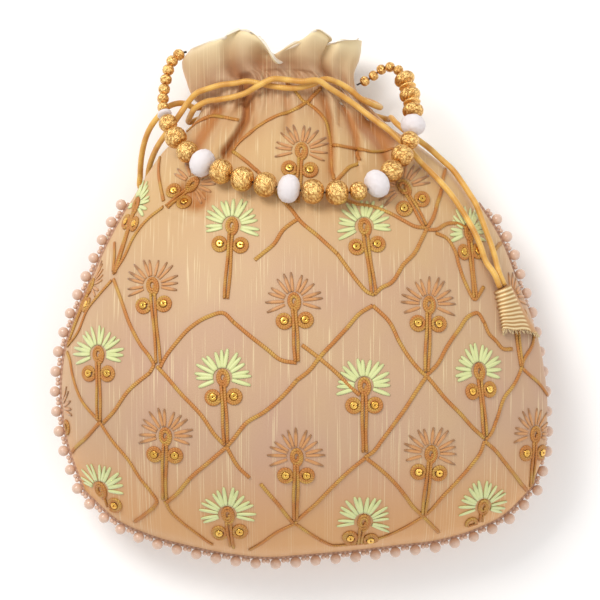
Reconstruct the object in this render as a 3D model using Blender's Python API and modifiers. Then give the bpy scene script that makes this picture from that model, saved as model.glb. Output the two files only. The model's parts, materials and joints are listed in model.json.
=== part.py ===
"""A potli: a drawstring pouch of embroidered silk with a pearl-edged seam, two drawcords that end in
cloth tassels, and a strand of beads for a handle. It lies on its back, filled out, with its mouth
towards +Y and the front panel up. The origin is on the flat of the back panel that it rests on."""

import math

import bmesh
import bpy
import numpy as np
from mathutils import Matrix, Vector
from mathutils.bvhtree import BVHTree

# Cloth
CLOTH_THICKNESS = 0.0012
WELD = 1e-6  # points of one mesh that are closer than this are one point
SEAM_GAP = 0.0005  # between the sewn edges of the two panels
SEAM_LIP = 0.0014  # each panel stands up from its seam by this much before it bulges
TOUCH = 0.0004  # clearance between pieces that lie on each other
LOOK_FROM = 1.0  # height over the bag from which the cloth's height is read
PANEL_COLUMNS = 22
LATTICE_WIDTH = 0.0610  # the embroidered diamonds, corner to corner
LATTICE_HEIGHT = 0.0650
LATTICE_LINE = 0.02  # half the width of their couched cord, as a share of a diamond

# The side seams: v, then x and y of the left and of the right seam. v is -1 at the rim of the
# frill, 0 at the neck and 1 at the corners of the bottom seam.
SIDE_SEAMS = [
    (-1.00, -0.0514, 0.1591, 0.0268, 0.1632),
    (-0.65, -0.0550, 0.1532, 0.0259, 0.1559),
    (-0.35, -0.0532, 0.1454, 0.0232, 0.1473),
    (-0.12, -0.0500, 0.1375, 0.0252, 0.1395),
    (0.00, -0.0462, 0.1320, 0.0295, 0.1340),
    (0.07, -0.0515, 0.1235, 0.0405, 0.1235),
    (0.15, -0.0623, 0.1141, 0.0545, 0.1141),
    (0.25, -0.0709, 0.1023, 0.0682, 0.1025),
    (0.36, -0.0804, 0.0864, 0.0816, 0.0864),
    (0.47, -0.0892, 0.0700, 0.0912, 0.0700),
    (0.57, -0.0957, 0.0550, 0.0961, 0.0550),
    (0.67, -0.1027, 0.0386, 0.1010, 0.0386),
    (0.78, -0.1085, 0.0182, 0.1050, 0.0182),
    (0.88, -0.1089, -0.0040, 0.1076, -0.0040),
    (0.94, -0.1060, -0.0210, 0.1078, -0.0210),
    (1.00, -0.0988, -0.0409, 0.1040, -0.0390),
]
PANEL_ROWS = [-1, -0.8, -0.55, -0.3, -0.14, 0, 0.07, 0.15, 0.25]
PANEL_ROWS += [0.36, 0.47, 0.58, 0.69, 0.79, 0.88, 0.94, 0.98, 1]
NECK_RISE = 0.0130  # the middle of the neck stands this far above its ends

# How far the cloth stands off the seams' plane: v, front, back, and the height of the seams.
FULLNESS = [
    (-1.00, 0.0220, 0.0190, 0.0250),
    (-0.65, 0.0215, 0.0180, 0.0250),
    (-0.35, 0.0180, 0.0155, 0.0248),
    (-0.12, 0.0135, 0.0125, 0.0245),
    (0.00, 0.0125, 0.0120, 0.0245),
    (0.07, 0.0150, 0.0140, 0.0245),
    (0.15, 0.0200, 0.0170, 0.0248),
    (0.25, 0.0275, 0.0200, 0.0252),
    (0.36, 0.0350, 0.0235, 0.0258),
    (0.47, 0.0420, 0.0274, 0.0265),
    (0.57, 0.0470, 0.0305, 0.0272),
    (0.67, 0.0505, 0.0329, 0.0278),
    (0.78, 0.0520, 0.0340, 0.0280),
]
ROUND_FROM = 0.78  # past this v both panels round over into the bottom seam

# The folds that the gathered neck sends down the body and up the frill: place across the panel at
# the neck, at the fold's lower end and at the rim; how far down v it reaches; its depth at the
# neck and at the rim; its width, as a share of half the panel.
FRONT_FOLDS = [
    (-0.82, -0.84, -0.86, 0.30, 0.0030, 0.0025, 0.09),
    (-0.48, -0.60, -0.42, 0.34, 0.0064, 0.0020, 0.09),
    (-0.18, -0.30, 0.13, 0.20, 0.0035, 0.0130, 0.12),
    (0.20, 0.16, 0.34, 0.28, 0.0032, 0.0030, 0.10),
    (0.62, 0.38, 0.60, 0.34, 0.0056, 0.0065, 0.09),
    (0.86, 0.70, 0.88, 0.42, 0.0060, 0.0020, 0.10),
]
BACK_FOLDS = [
    (-0.70, -0.72, -0.66, 0.34, 0.0045, 0.0050, 0.10),
    (-0.34, -0.36, -0.30, 0.26, 0.0040, 0.0020, 0.10),
    (0.02, 0.00, 0.04, 0.34, 0.0050, 0.0060, 0.11),
    (0.38, 0.36, 0.36, 0.26, 0.0040, 0.0020, 0.10),
    (0.72, 0.70, 0.70, 0.34, 0.0045, 0.0050, 0.10),
]
# The rim of the frill: place across the panel, and height over the line between its corners.
FRONT_RIM = [
    (-1.00, 0.0),
    (-0.84, 0.0015),
    (-0.50, 0.0045),
    (-0.24, 0.0063),
    (-0.10, 0.0008),
    (0.04, -0.0089),
    (0.20, -0.0120),
    (0.36, -0.0035),
    (0.50, 0.0052),
    (0.62, 0.0010),
    (0.80, 0.0006),
    (1.00, 0.0),
]
BACK_RIM = [(-1.0, 0.0), (-0.6, 0.0020), (-0.2, -0.0020), (0.2, 0.0025), (0.6, -0.0010), (1.0, 0.0)]

# The bottom seam: place across the panel, and how far it hangs below the line between its corners.
BOTTOM_EDGE = [
    (-1.00, 0.0),
    (-0.87, 0.0124),
    (-0.71, 0.0203),
    (-0.53, 0.0256),
    (-0.36, 0.0292),
    (-0.19, 0.0310),
    (0.00, 0.0299),
    (0.20, 0.0283),
    (0.40, 0.0261),
    (0.57, 0.0241),
    (0.74, 0.0193),
    (0.89, 0.0114),
    (1.00, 0.0),
]

# Pearls on the seam
PEARL_DIAMETER = 0.0050
SMALL_PEARL_DIAMETER = 0.0026
PEARL_PITCH = 0.0091
PEARLS_FROM = 0.34  # the v where they start on both side seams
PEARL_STANDOFF = 0.0007  # between the pearls and the seam

# Drawcords and tassels
CORD_DIAMETER = 0.0027
CORD_STEP = 0.0067  # between the points of a cord
LAY_STEP = 0.0030  # between the places where a cord's height over the cloth is read
FINE_STEP = 0.0005  # between the points of a line that lengths are read from
SLACK = 0.0008  # a cord keeps this much more from the cloth's creases
TASSEL_LENGTH = 0.0215
TASSEL_TOP = 0.0068
TASSEL_HEM = 0.0190
TASSEL_THICKNESS = 0.0070
TASSEL_SEAT = 0.0006  # between a tassel and the cloth it lies on
TASSEL_RIBS = 5
TASSEL_HOLLOW = 0.0090
HEM_SLANT = 0.0050

# Beads: kind, then diameter, length along the thread, sides, and rings of points over the bead.
THREAD_DIAMETER = 0.0010
BORE_CLEARANCE = 0.0003
BEADS = {
    "gold_small": (0.0047, 0.0043, 6, 2),
    "gold_ring": (0.0096, 0.0062, 8, 3),
    "gold_medium": (0.0084, 0.0080, 8, 3),
    "gold": (0.0100, 0.0094, 8, 4),
    "gold_large": (0.0112, 0.0102, 8, 4),
    "white": (0.0138, 0.0099, 8, 4),
    "white_round": (0.0110, 0.0088, 8, 4),
    "white_disc": (0.0066, 0.0026, 8, 2),
    "gold_spacer": (0.0078, 0.0016, 8, 2),
}
STRAND = (
    ["gold_small"] * 7
    + ["white_disc", "gold_medium", "gold", "gold", "white", "gold_large", "gold_large", "gold_large"]
    + ["white", "gold_large", "gold_large", "gold_medium", "white", "gold", "gold", "gold_medium"]
    + ["white_round", "gold_ring", "gold_spacer", "gold_ring", "gold_spacer", "gold_ring"]
    + ["gold_small"] * 5
)
LEFT_ANCHOR_V = -0.95
BARE_THREAD = 0.0014  # between each anchor and its first bead
RIGHT_ANCHOR_V = -0.22
# The strand's way from the left anchor to the right one: it stands clear beside the frill, hangs
# over the bag, and stands clear again. x, y and height, which is the least height over the bag.
LEFT_ARC = [
    (-0.0564, 0.1573, 0.0268),
    (-0.0592, 0.1545, 0.0284),
    (-0.0610, 0.1502, 0.0304),
    (-0.0622, 0.1440, 0.0324),
    (-0.0632, 0.1373, 0.0335),
    (-0.0628, 0.1310, 0.0338),
    (-0.0610, 0.1255, 0.0340),
]
SWAG = [
    (-0.0575, 0.1188, 0.0330),
    (-0.0520, 0.1115, 0.0330),
    (-0.0452, 0.1062, 0.0330),
    (-0.0360, 0.1020, 0.0330),
    (-0.0269, 0.0985, 0.0330),
    (-0.0165, 0.0960, 0.0330),
    (-0.0048, 0.0940, 0.0330),
    (0.0070, 0.0927, 0.0330),
    (0.0200, 0.0925, 0.0330),
    (0.0295, 0.0945, 0.0330),
    (0.0364, 0.0990, 0.0330),
    (0.0414, 0.1053, 0.0330),
    (0.0456, 0.1123, 0.0330),
    (0.0486, 0.1192, 0.0330),
    (0.0495, 0.1270, 0.0330),
]
RIGHT_ARC = [
    (0.0488, 0.1345, 0.0335),
    (0.0473, 0.1409, 0.0325),
    (0.0450, 0.1475, 0.0310),
    (0.0410, 0.1510, 0.0292),
    (0.0362, 0.1508, 0.0274),
    (0.0318, 0.1470, 0.0260),
]

# The drawcords' ways: x, y and least height, in metres. The right cord leaves its tassel, goes
# round behind the neck from the right to the left, over the front, and back to its tassel.
RIGHT_TAIL_OUTER = [
    (0.0850, 0.0625, 0.0200),
    (0.0820, 0.0727, 0.0200),
    (0.0777, 0.0855, 0.0200),
    (0.0722, 0.0962, 0.0200),
    (0.0660, 0.1042, 0.0200),
    (0.0595, 0.1108, 0.0200),
    (0.0522, 0.1160, 0.0220),
    (0.0450, 0.1206, 0.0240),
    (0.0390, 0.1262, 0.0260),
]
RIGHT_FRONT = [
    (-0.0436, 0.1345, 0.0200),
    (-0.0345, 0.1362, 0.0200),
    (-0.0241, 0.1398, 0.0200),
    (-0.0125, 0.1425, 0.0200),
    (-0.0010, 0.1442, 0.0200),
    (0.0085, 0.1420, 0.0200),
    (0.0175, 0.1372, 0.0200),
    (0.0290, 0.1290, 0.0200),
]
RIGHT_TAIL_INNER = [
    (0.0400, 0.1195, 0.0200),
    (0.0495, 0.1090, 0.0200),
    (0.0573, 0.1010, 0.0200),
    (0.0636, 0.0940, 0.0200),
    (0.0690, 0.0870, 0.0200),
    (0.0732, 0.0800, 0.0200),
    (0.0770, 0.0715, 0.0200),
    (0.0806, 0.0625, 0.0200),
]
# The left cord starts at the hidden tassel under the left edge and goes the other way round.
LEFT_TAIL_OUTER = [
    (-0.0745, 0.0945, 0.0034),
    (-0.0752, 0.1030, 0.0060),
    (-0.0742, 0.1115, 0.0120),
    (-0.0722, 0.1190, 0.0180),
    (-0.0690, 0.1252, 0.0225),
    (-0.0640, 0.1308, 0.0250),
    (-0.0582, 0.1352, 0.0262),
]
LEFT_FRONT = [
    (-0.0350, 0.1430, 0.0200),
    (-0.0218, 0.1432, 0.0200),
    (-0.0105, 0.1405, 0.0200),
    (0.0000, 0.1405, 0.0200),
    (0.0090, 0.1445, 0.0200),
    (0.0168, 0.1430, 0.0200),
    (0.0240, 0.1366, 0.0240),
]
LEFT_TAIL_INNER = [
    (-0.0480, 0.1395, 0.0300),
    (-0.0548, 0.1310, 0.0300),
    (-0.0605, 0.1235, 0.0270),
    (-0.0660, 0.1165, 0.0200),
    (-0.0698, 0.1095, 0.0125),
    (-0.0715, 0.1025, 0.0060),
    (-0.0710, 0.0950, 0.0034),
]
# Round the neck: places across the panel behind it and where each cord turns to the front, with v.
NECK_BEHIND = [0.97, 0.8, 0.5, 0.2, -0.1, -0.4, -0.7, -0.9, -0.99]
LEFT_CORD_BEHIND = -0.01
LEFT_CORD_TURN = [0.99]
LEFT_TURN_AT = 0.02
RIGHT_CORD_BEHIND = 0.05
RIGHT_CORD_TURN = [-0.97, -0.9]
RIGHT_TURN_AT = 0.01
END_RUN = 2.4  # a cord's straight way out of its tassel, in its own diameters
RIGHT_TASSEL_AT = (0.0898, 0.0400)
RIGHT_TASSEL_POINTS_TO = (0.45, -0.89)
LEFT_TASSEL_AT = (-0.0775, 0.0765, 0.0041)
LEFT_TASSEL_POINTS_TO = (-0.45, -0.89)


def smooth(table, at, column=1):
    """A cubic curve through one column of a table, read at some places of its first column."""
    knots = np.array([row[0] for row in table])
    values = np.array([row[column] for row in table])
    slopes = np.gradient(values, knots)
    at = np.clip(at, knots[0], knots[-1])
    i = np.clip(np.searchsorted(knots, at) - 1, 0, len(knots) - 2)
    width = knots[i + 1] - knots[i]
    t = (at - knots[i]) / width
    rise = values[i + 1] - values[i]
    return (
        values[i]
        + rise * (3 * t**2 - 2 * t**3)
        + width * slopes[i] * (t**3 - 2 * t**2 + t)
        + width * slopes[i + 1] * (t**3 - t**2)
    )


def spline(points, step):
    """Points about a step apart on a smooth curve through the given ones."""
    points = np.array(points, float)
    chord = np.linalg.norm(np.diff(points, axis=0), axis=1)
    along = np.concatenate([[0.0], np.cumsum(np.sqrt(chord))])
    fine = np.linspace(0, along[-1], 60 * len(points))
    columns = [smooth(list(zip(along, points[:, k], strict=True)), fine) for k in range(points.shape[1])]
    curve = np.stack(columns, axis=1)
    length = np.concatenate([[0.0], np.cumsum(np.linalg.norm(np.diff(curve, axis=0), axis=1))])
    even = np.linspace(0, length[-1], max(2, round(length[-1] / step) + 1))
    return np.stack([np.interp(even, length, curve[:, k]) for k in range(points.shape[1])], axis=1)


def dome(u):
    """The panel's bulge across its width: nothing at the seams, full in the middle."""
    return (1 - np.abs(u) ** 2.5) ** 0.6


def rounding(v):
    """How the panels close on the bottom seam: 1 above the rounding, 0 at the seam."""
    t = np.clip((v - ROUND_FROM) / (1 - ROUND_FROM), 0, 1)
    return (1 - t**2.2) ** 0.55


def fold_depth(folds, u, v):
    depth = np.zeros_like(u)
    for at_neck, at_end, at_rim, reach, deep, deep_at_rim, width in folds:
        down = np.clip(v / reach, 0, 1)
        up = np.clip(-v, 0, 1)
        middle = at_neck + (at_end - at_neck) * down + (at_rim - at_neck) * up
        here = np.where(v < 0, deep + (deep_at_rim - deep) * up, deep * (1 - down) ** 1.4)
        depth += here * np.exp(-(((u - middle) / width) ** 2))
    return depth * (1 - np.abs(u) ** 6)


def panel_points(u, v, side, folded=True):
    """Points of the cloth's outer surface. side is 1 for the front panel and -1 for the back."""
    u, v = np.broadcast_arrays(np.asarray(u, float), np.asarray(v, float))
    share = (u + 1) / 2
    x = (1 - share) * smooth(SIDE_SEAMS, v, 1) + share * smooth(SIDE_SEAMS, v, 3)
    y = (1 - share) * smooth(SIDE_SEAMS, v, 2) + share * smooth(SIDE_SEAMS, v, 4)
    fall = np.clip(v, 0, 1) ** 2.5
    y = y + NECK_RISE * (1 - fall) * np.clip(1 + v, 0, 1) ** 0.7 * (1 - np.abs(u) ** 2.2)
    y = y - smooth(BOTTOM_EDGE, u) * fall
    rim = FRONT_RIM if side > 0 else BACK_RIM
    y = y + smooth(rim, u) * np.clip(-v, 0, 1) ** 1.6
    depth = smooth(FULLNESS, v, 1 if side > 0 else 2) * rounding(v) * dome(u)
    if folded:
        depth = depth - fold_depth(FRONT_FOLDS if side > 0 else BACK_FOLDS, u, v)
    z = smooth(FULLNESS, v, 3) + side * (depth + SEAM_GAP / 2 + SEAM_LIP)
    return np.stack([x, y, np.maximum(z, 0.0)], axis=-1)


def lipped(points, side):
    """The grid with a lip round both side seams and the bottom seam, down to the seam itself."""
    points = np.pad(points, ((0, 1), (1, 1), (0, 0)), mode="edge")
    points[:, 0, 2] -= side * SEAM_LIP
    points[:, -1, 2] -= side * SEAM_LIP
    points[-1, 1:-1, 2] -= side * SEAM_LIP
    points[-1, 0] = points[-2, 0]
    points[-1, -1] = points[-2, -1]
    return points


def collection(name):
    made = bpy.data.collections.new(name)
    bpy.context.scene.collection.children.link(made)
    return made


def material(name, colour, roughness, metallic=0.0):
    made = bpy.data.materials.new(name)
    made.use_nodes = True
    shader = made.node_tree.nodes["Principled BSDF"]
    shader.inputs["Base Color"].default_value = (*colour, 1)
    shader.inputs["Roughness"].default_value = roughness
    shader.inputs["Metallic"].default_value = metallic
    return made


def add_object(name, data, finish):
    made = bpy.data.objects.new(name, data)
    data.materials.append(finish)
    BAG.objects.link(made)
    return made


def grid_mesh(name, points, flipped):
    """A mesh over a grid of points, one quad between each four."""
    rows, columns = points.shape[:2]
    faces = []
    for r in range(rows - 1):
        for c in range(columns - 1):
            a = r * columns + c
            face = (a, a + columns, a + columns + 1, a + 1)
            faces.append(face[::-1] if flipped else face)
    mesh = bpy.data.meshes.new(name)
    mesh.from_pydata(points.reshape(-1, 3).tolist(), [], faces)
    welded = bmesh.new()
    welded.from_mesh(mesh)
    bmesh.ops.remove_doubles(welded, verts=welded.verts, dist=WELD)
    welded.to_mesh(mesh)
    welded.free()
    mesh.shade_smooth()
    return mesh


def embroidered_silk():
    """Cream silk with a diamond lattice of couched cord, drawn over the panel's own coordinates."""
    made = material("embroidered_silk", (0.66, 0.45, 0.30), 0.55)
    nodes = made.node_tree.nodes
    links = made.node_tree.links

    def maths(operation, first, second):
        node = nodes.new("ShaderNodeMath")
        node.operation = operation
        for socket, value in zip(node.inputs, (first, second), strict=False):
            if isinstance(value, (int, float)):
                socket.default_value = value
            else:
                links.new(value, socket)
        return node.outputs[0]

    place = nodes.new("ShaderNodeSeparateXYZ")
    links.new(nodes.new("ShaderNodeTexCoord").outputs["Object"], place.inputs[0])
    across = maths("DIVIDE", place.outputs["X"], LATTICE_WIDTH)
    along = maths("DIVIDE", place.outputs["Y"], LATTICE_HEIGHT)
    lines = []
    for diagonal in (maths("ADD", along, across), maths("SUBTRACT", along, across)):
        away = maths("ABSOLUTE", maths("SUBTRACT", maths("FRACT", diagonal, 0.0), 0.5), 0.0)
        lines.append(maths("GREATER_THAN", away, 0.5 - LATTICE_LINE))
    below_neck = maths("LESS_THAN", place.outputs["Y"], SIDE_SEAMS[4][2])
    mix = nodes.new("ShaderNodeMix")
    mix.data_type = "RGBA"
    links.new(maths("MULTIPLY", maths("MAXIMUM", *lines), below_neck), mix.inputs["Factor"])
    mix.inputs["A"].default_value = (0.66, 0.45, 0.30, 1)
    mix.inputs["B"].default_value = (0.53, 0.25, 0.07, 1)
    links.new(mix.outputs["Result"], nodes["Principled BSDF"].inputs["Base Color"])
    return made


def panel(name, side, finish):
    """One cut of cloth, from the rim of the frill to the bottom seam, with its thickness inwards."""
    even = np.linspace(-1, 1, PANEL_COLUMNS + 1)
    u = 0.75 * even + 0.25 * np.sin(even * math.pi / 2)
    points = panel_points(u[None, :], np.array(PANEL_ROWS)[:, None], side)
    made = add_object(name, grid_mesh(name, lipped(points, side), flipped=side < 0), finish)
    wall = made.modifiers.new("cloth", "SOLIDIFY")
    wall.thickness = CLOTH_THICKNESS
    wall.offset = -1
    return made


def tube(name, points, diameter, sides, finish, widths=None):
    """A round cord along a line of points, with closed ends."""
    curve = bpy.data.curves.new(name, "CURVE")
    curve.dimensions = "3D"
    curve.bevel_depth = diameter / 2
    curve.bevel_resolution = (sides - 4) // 2
    curve.use_fill_caps = True
    line = curve.splines.new("POLY")
    line.points.add(len(points) - 1)
    for i, point in enumerate(points):
        line.points[i].co = (*point, 1)
        line.points[i].radius = 1.0 if widths is None else widths[i]
    return add_object(name, curve, finish)


def surface_of(objects):
    """The shown surfaces of some objects, to lay other pieces on."""
    bpy.context.view_layer.update()
    graph = bpy.context.evaluated_depsgraph_get()
    points, faces = [], []
    for piece in objects:
        evaluated = piece.evaluated_get(graph)
        mesh = evaluated.to_mesh()
        faces += [[len(points) + i for i in polygon.vertices] for polygon in mesh.polygons]
        points += [evaluated.matrix_world @ vertex.co for vertex in mesh.vertices]
        evaluated.to_mesh_clear()
    return BVHTree.FromPolygons(points, faces)


def laid(surface, x, y, low, radius):
    """The height of the middle of a round piece that lies on a surface, or low where none is."""
    height = low
    for share, count in ((0.0, 1), (0.5, 6), (0.85, 10)):
        for k in range(count):
            turn = 2 * math.pi * k / count
            over, up = share * radius * math.cos(turn), share * radius * math.sin(turn)
            hit = surface.ray_cast(Vector((x + over, y + up, LOOK_FROM)), Vector((0, 0, -1)))[0]
            if hit is not None:
                height = max(height, hit.z + radius * math.sqrt(1 - share**2) + TOUCH)
    return height


def taut(route, rounds):
    """The route drawn over its dips: no point stays below the middle of its neighbours for long."""
    route = [list(point) for point in route]
    for _ in range(rounds):
        for i in range(1, len(route) - 1):
            route[i][2] = max(route[i][2], (route[i - 1][2] + route[i + 1][2]) / 2)
    return route


def lay_route(surface, route, radius):
    """A route with points a few millimetres apart, each laid on the surface."""
    fine = spline(route, LAY_STEP).tolist()
    return taut([(x, y, laid(surface, x, y, low, radius)) for x, y, low in fine], 12)


def settled(surface, points, reach):
    """The line with its points and the middles between them moved out to reach from the surface."""
    points = [Vector(p) for p in points]
    for _ in range(4):
        for i in range(len(points) - 1):
            for first, second in ((i, i), (i, i + 1)):
                middle = (points[first] + points[second]) / 2
                near, normal, _, distance = surface.find_nearest(middle)
                if distance < reach or (middle - near).dot(normal) < 0:
                    shift = near + normal * reach - middle
                    points[first] = points[first] + shift
                    if second != first:
                        points[second] = points[second] + shift
    return points


def neck_ring(places, side, v, reach):
    """Points round the neck, outside the cloth by reach."""
    u = np.array(places, float)
    points = panel_points(u, v, side, folded=False)
    step = 1e-3
    ahead = panel_points(np.clip(u + step, -1, 1), v, side, folded=False)
    behind = panel_points(np.clip(u - step, -1, 1), v, side, folded=False)
    run = ahead - behind
    out = np.stack([-run[:, 2], np.zeros(len(u)), run[:, 0]], axis=1) * side
    out /= np.linalg.norm(out, axis=1)[:, None]
    return [tuple(p) for p in points + out * reach]


def pearl_trim(finish):
    """Pearls on a thread along the seam, a large one and a small one in turn, as one string."""
    sides = np.linspace(PEARLS_FROM, 1, 40)
    bottom = np.linspace(-1, 1, 60)
    left = panel_points(np.full(40, -1.0), sides, 1)
    foot = panel_points(bottom, np.ones(60), 1)
    right = panel_points(np.ones(40), sides[::-1], 1)
    seam = np.concatenate([left[:-1], foot, right[1:]])
    seam[:, 2] -= SEAM_GAP / 2 + SEAM_LIP
    run = np.gradient(seam, axis=0)
    out = np.stack([run[:, 1], -run[:, 0], np.zeros(len(seam))], axis=1)
    out /= np.linalg.norm(out, axis=1)[:, None]
    line = spline(seam + out * (PEARL_DIAMETER / 2 + PEARL_STANDOFF), FINE_STEP)
    length = np.concatenate([[0.0], np.cumsum(np.linalg.norm(np.diff(line, axis=0), axis=1))])
    radius = PEARL_DIAMETER / 2
    stops, widths = [], []
    for k in range(int((length[-1] - PEARL_DIAMETER) / PEARL_PITCH) + 1):
        middle = PEARL_DIAMETER / 2 + k * PEARL_PITCH
        for share in (-0.86, 0.0, 0.86):
            stops.append(middle + share * radius)
            widths.append(math.sqrt(1 - share**2))
        stops.append(middle + PEARL_PITCH / 2)
        widths.append(SMALL_PEARL_DIAMETER / PEARL_DIAMETER)
    points = np.stack([np.interp(stops[:-1], length, line[:, k]) for k in range(3)], axis=1)
    return tube("pearl_trim", points.tolist(), PEARL_DIAMETER, 6, finish, widths[:-1])


def tassel(name, finish, middle, direction, normal):
    """A cone of folded ribbon, flattened, ribbed across and open at its slanted hem. Returns the
    object and the two places at its top where the cord's ends go in."""
    sides = 12
    profile = []
    for k in range(2 * TASSEL_RIBS + 1):
        share = k / (2 * TASSEL_RIBS)
        rib = 1.0 if k % 2 else 0.94
        profile.append((share * TASSEL_LENGTH, share, rib))
    hollow = TASSEL_LENGTH - TASSEL_HOLLOW
    inner = [(TASSEL_LENGTH, 1.0, 0.80), (hollow, hollow / TASSEL_LENGTH, 0.60)]
    rings = []
    for down, share, scale in profile + inner:
        wide = scale * (TASSEL_TOP + (TASSEL_HEM - TASSEL_TOP) * share) / 2
        thick = scale * (TASSEL_TOP + (TASSEL_THICKNESS - TASSEL_TOP) * share) / 2
        ring = []
        for s in range(sides):
            turn = 2 * math.pi * s / sides
            side = wide * math.cos(turn)
            ring.append((side, thick * math.sin(turn), -down + HEM_SLANT * share * side / TASSEL_HEM * 2))
        rings.append(ring)
    points = [p for ring in rings for p in ring]
    faces = [tuple(range(sides))]
    for r in range(len(rings) - 1):
        for s in range(sides):
            a = r * sides + s
            b = r * sides + (s + 1) % sides
            faces.append((a, a + sides, b + sides, b))
    faces.append(tuple(reversed([(len(rings) - 1) * sides + s for s in range(sides)])))
    mesh = bpy.data.meshes.new(name)
    mesh.from_pydata(points, [], faces)
    mesh.shade_smooth()
    made = add_object(name, mesh, finish)
    up = -Vector(direction).normalized()
    flat = (Vector(normal) - Vector(normal).dot(up) * up).normalized()
    turned = Matrix((flat.cross(up), flat, up)).transposed()
    top = Vector(middle) + up * TASSEL_LENGTH / 2
    made.matrix_world = Matrix.Translation(top) @ turned.to_4x4()
    apart = flat.cross(up) * (CORD_DIAMETER / 2 + TOUCH)
    return made, top + up * 1.5 * TOUCH - apart, top + up * 1.5 * TOUCH + apart, up


def bead_mesh(kind):
    """A turned bead with a bore, its axis along Z: a closed profile swept round by a Screw."""
    diameter, length, sides, rings = BEADS[kind]
    bore = (THREAD_DIAMETER / 2 + BORE_CLEARANCE) / math.cos(math.pi / sides)
    profile = [(bore, length / 2)]
    for k in range(rings):
        tilt = math.pi * ((k + 0.5) / rings - 0.5)
        profile.append((max(diameter / 2 * math.cos(tilt * 0.9), bore * 1.3), -length / 2 * math.sin(tilt)))
    profile.append((bore, -length / 2))
    mesh = bpy.data.meshes.new(kind)
    points = [(r, 0.0, z) for r, z in profile]
    edges = [(i, (i + 1) % len(points)) for i in range(len(points))]
    mesh.from_pydata(points, edges, [])
    return mesh


def bead(name, kind, finish, start, end):
    made = add_object(name, bead_mesh(kind), finish)
    turning = made.modifiers.new("turned", "SCREW")
    turning.steps = turning.render_steps = BEADS[kind][2]
    turning.use_merge_vertices = True
    turning.merge_threshold = WELD
    turning.use_smooth_shade = True
    along = Vector(end) - Vector(start)
    made.rotation_euler = along.to_track_quat("Z", "Y").to_euler()
    made.location = (Vector(start) + Vector(end)) / 2
    return made


def bead_strand(surface, gold, white, thread_finish):
    """The beads and their thread, laid over the bag between its two anchors, on one pivot."""
    reach = THREAD_DIAMETER / 2 + TOUCH
    left = Vector(panel_points(-1.0, LEFT_ANCHOR_V, 1)) + Vector((-reach, 0, 0))
    right = Vector(panel_points(1.0, RIGHT_ANCHOR_V, 1)) + Vector((reach, 0, 0))
    widest = max(BEADS[kind][0] for kind in STRAND) / 2
    swag = [(x, y, laid(surface, x, y, low, widest)) for x, y, low in SWAG]
    route = taut(LEFT_ARC + swag + RIGHT_ARC, 4)
    line = spline([tuple(left), *route, tuple(right)], FINE_STEP)
    length = np.concatenate([[0.0], np.cumsum(np.linalg.norm(np.diff(line, axis=0), axis=1))])
    spare = length[-1] - 2 * BARE_THREAD - sum(BEADS[kind][1] for kind in STRAND)
    gap = spare / (len(STRAND) + 1)

    def place(at):
        return tuple(np.interp(at, length, line[:, k]) for k in range(3))

    pivot = bpy.data.objects.new("handle_pivot", None)
    BAG.objects.link(pivot)
    pivot.location = left
    pieces = []
    stops = [tuple(left)]
    at = BARE_THREAD + gap
    for number, kind in enumerate(STRAND, start=1):
        start, end = place(at), place(at + BEADS[kind][1])
        finish = white if kind.startswith("white") else gold
        pieces.append(bead(f"bead_{number:02d}_{kind}", kind, finish, start, end))
        stops += [start, end]
        at += BEADS[kind][1] + gap
    stops.append(tuple(right))
    pieces.append(tube("handle_thread", stops, THREAD_DIAMETER, 4, thread_finish))
    bpy.context.view_layer.update()
    for piece in pieces:
        piece.parent = pivot
        piece.matrix_parent_inverse = pivot.matrix_world.inverted()


for old in list(bpy.data.objects):
    bpy.data.objects.remove(old, do_unlink=True)
BAG = collection("potli_bag")

silk = embroidered_silk()
pearl = material("pearl", (0.75, 0.58, 0.47), 0.25)
cord_satin = material("gold_satin_cord", (0.60, 0.36, 0.10), 0.45)
brocade = material("gold_brocade", (0.68, 0.50, 0.24), 0.40, 0.3)
gold = material("antique_gold", (0.75, 0.45, 0.13), 0.30, 1.0)
white = material("frosted_white", (0.80, 0.74, 0.76), 0.45)
thread = material("dark_thread", (0.03, 0.02, 0.02), 0.80)

front = panel("front_panel", 1, silk)
back = panel("back_panel", -1, silk)
pearl_trim(pearl)

ground = surface_of([front, back])
hit, normal, _, _ = ground.ray_cast(Vector((*RIGHT_TASSEL_AT, LOOK_FROM)), Vector((0, 0, -1)))
slope = Vector((*RIGHT_TASSEL_POINTS_TO, 0))
slope = slope - slope.dot(normal) * normal
seat = hit + normal * (TASSEL_THICKNESS / 2 + TASSEL_SEAT)
_, right_start, right_end, right_up = tassel("tassel_right", brocade, seat, slope, normal)
aim = (*LEFT_TASSEL_POINTS_TO, 0)
_, left_start, left_end, left_up = tassel("tassel_left", brocade, LEFT_TASSEL_AT, aim, (0, 0, 1))

half = CORD_DIAMETER / 2
wrap = half + TOUCH + SLACK
straight = END_RUN * CORD_DIAMETER
left_route = [tuple(left_start), tuple(left_start + left_up * straight)]
left_route += LEFT_TAIL_INNER[::-1]
left_route += lay_route(ground, LEFT_FRONT, half)
left_route += neck_ring(LEFT_CORD_TURN, 1, LEFT_TURN_AT, wrap)
left_route += neck_ring(NECK_BEHIND, -1, LEFT_CORD_BEHIND, wrap)
left_route += LEFT_TAIL_OUTER[::-1]
left_route += [tuple(left_end + left_up * straight), tuple(left_end)]
left_line = settled(ground, spline(left_route, CORD_STEP).tolist(), wrap)
left_cord = tube("drawcord_left", left_line, CORD_DIAMETER, 8, cord_satin)

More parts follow.
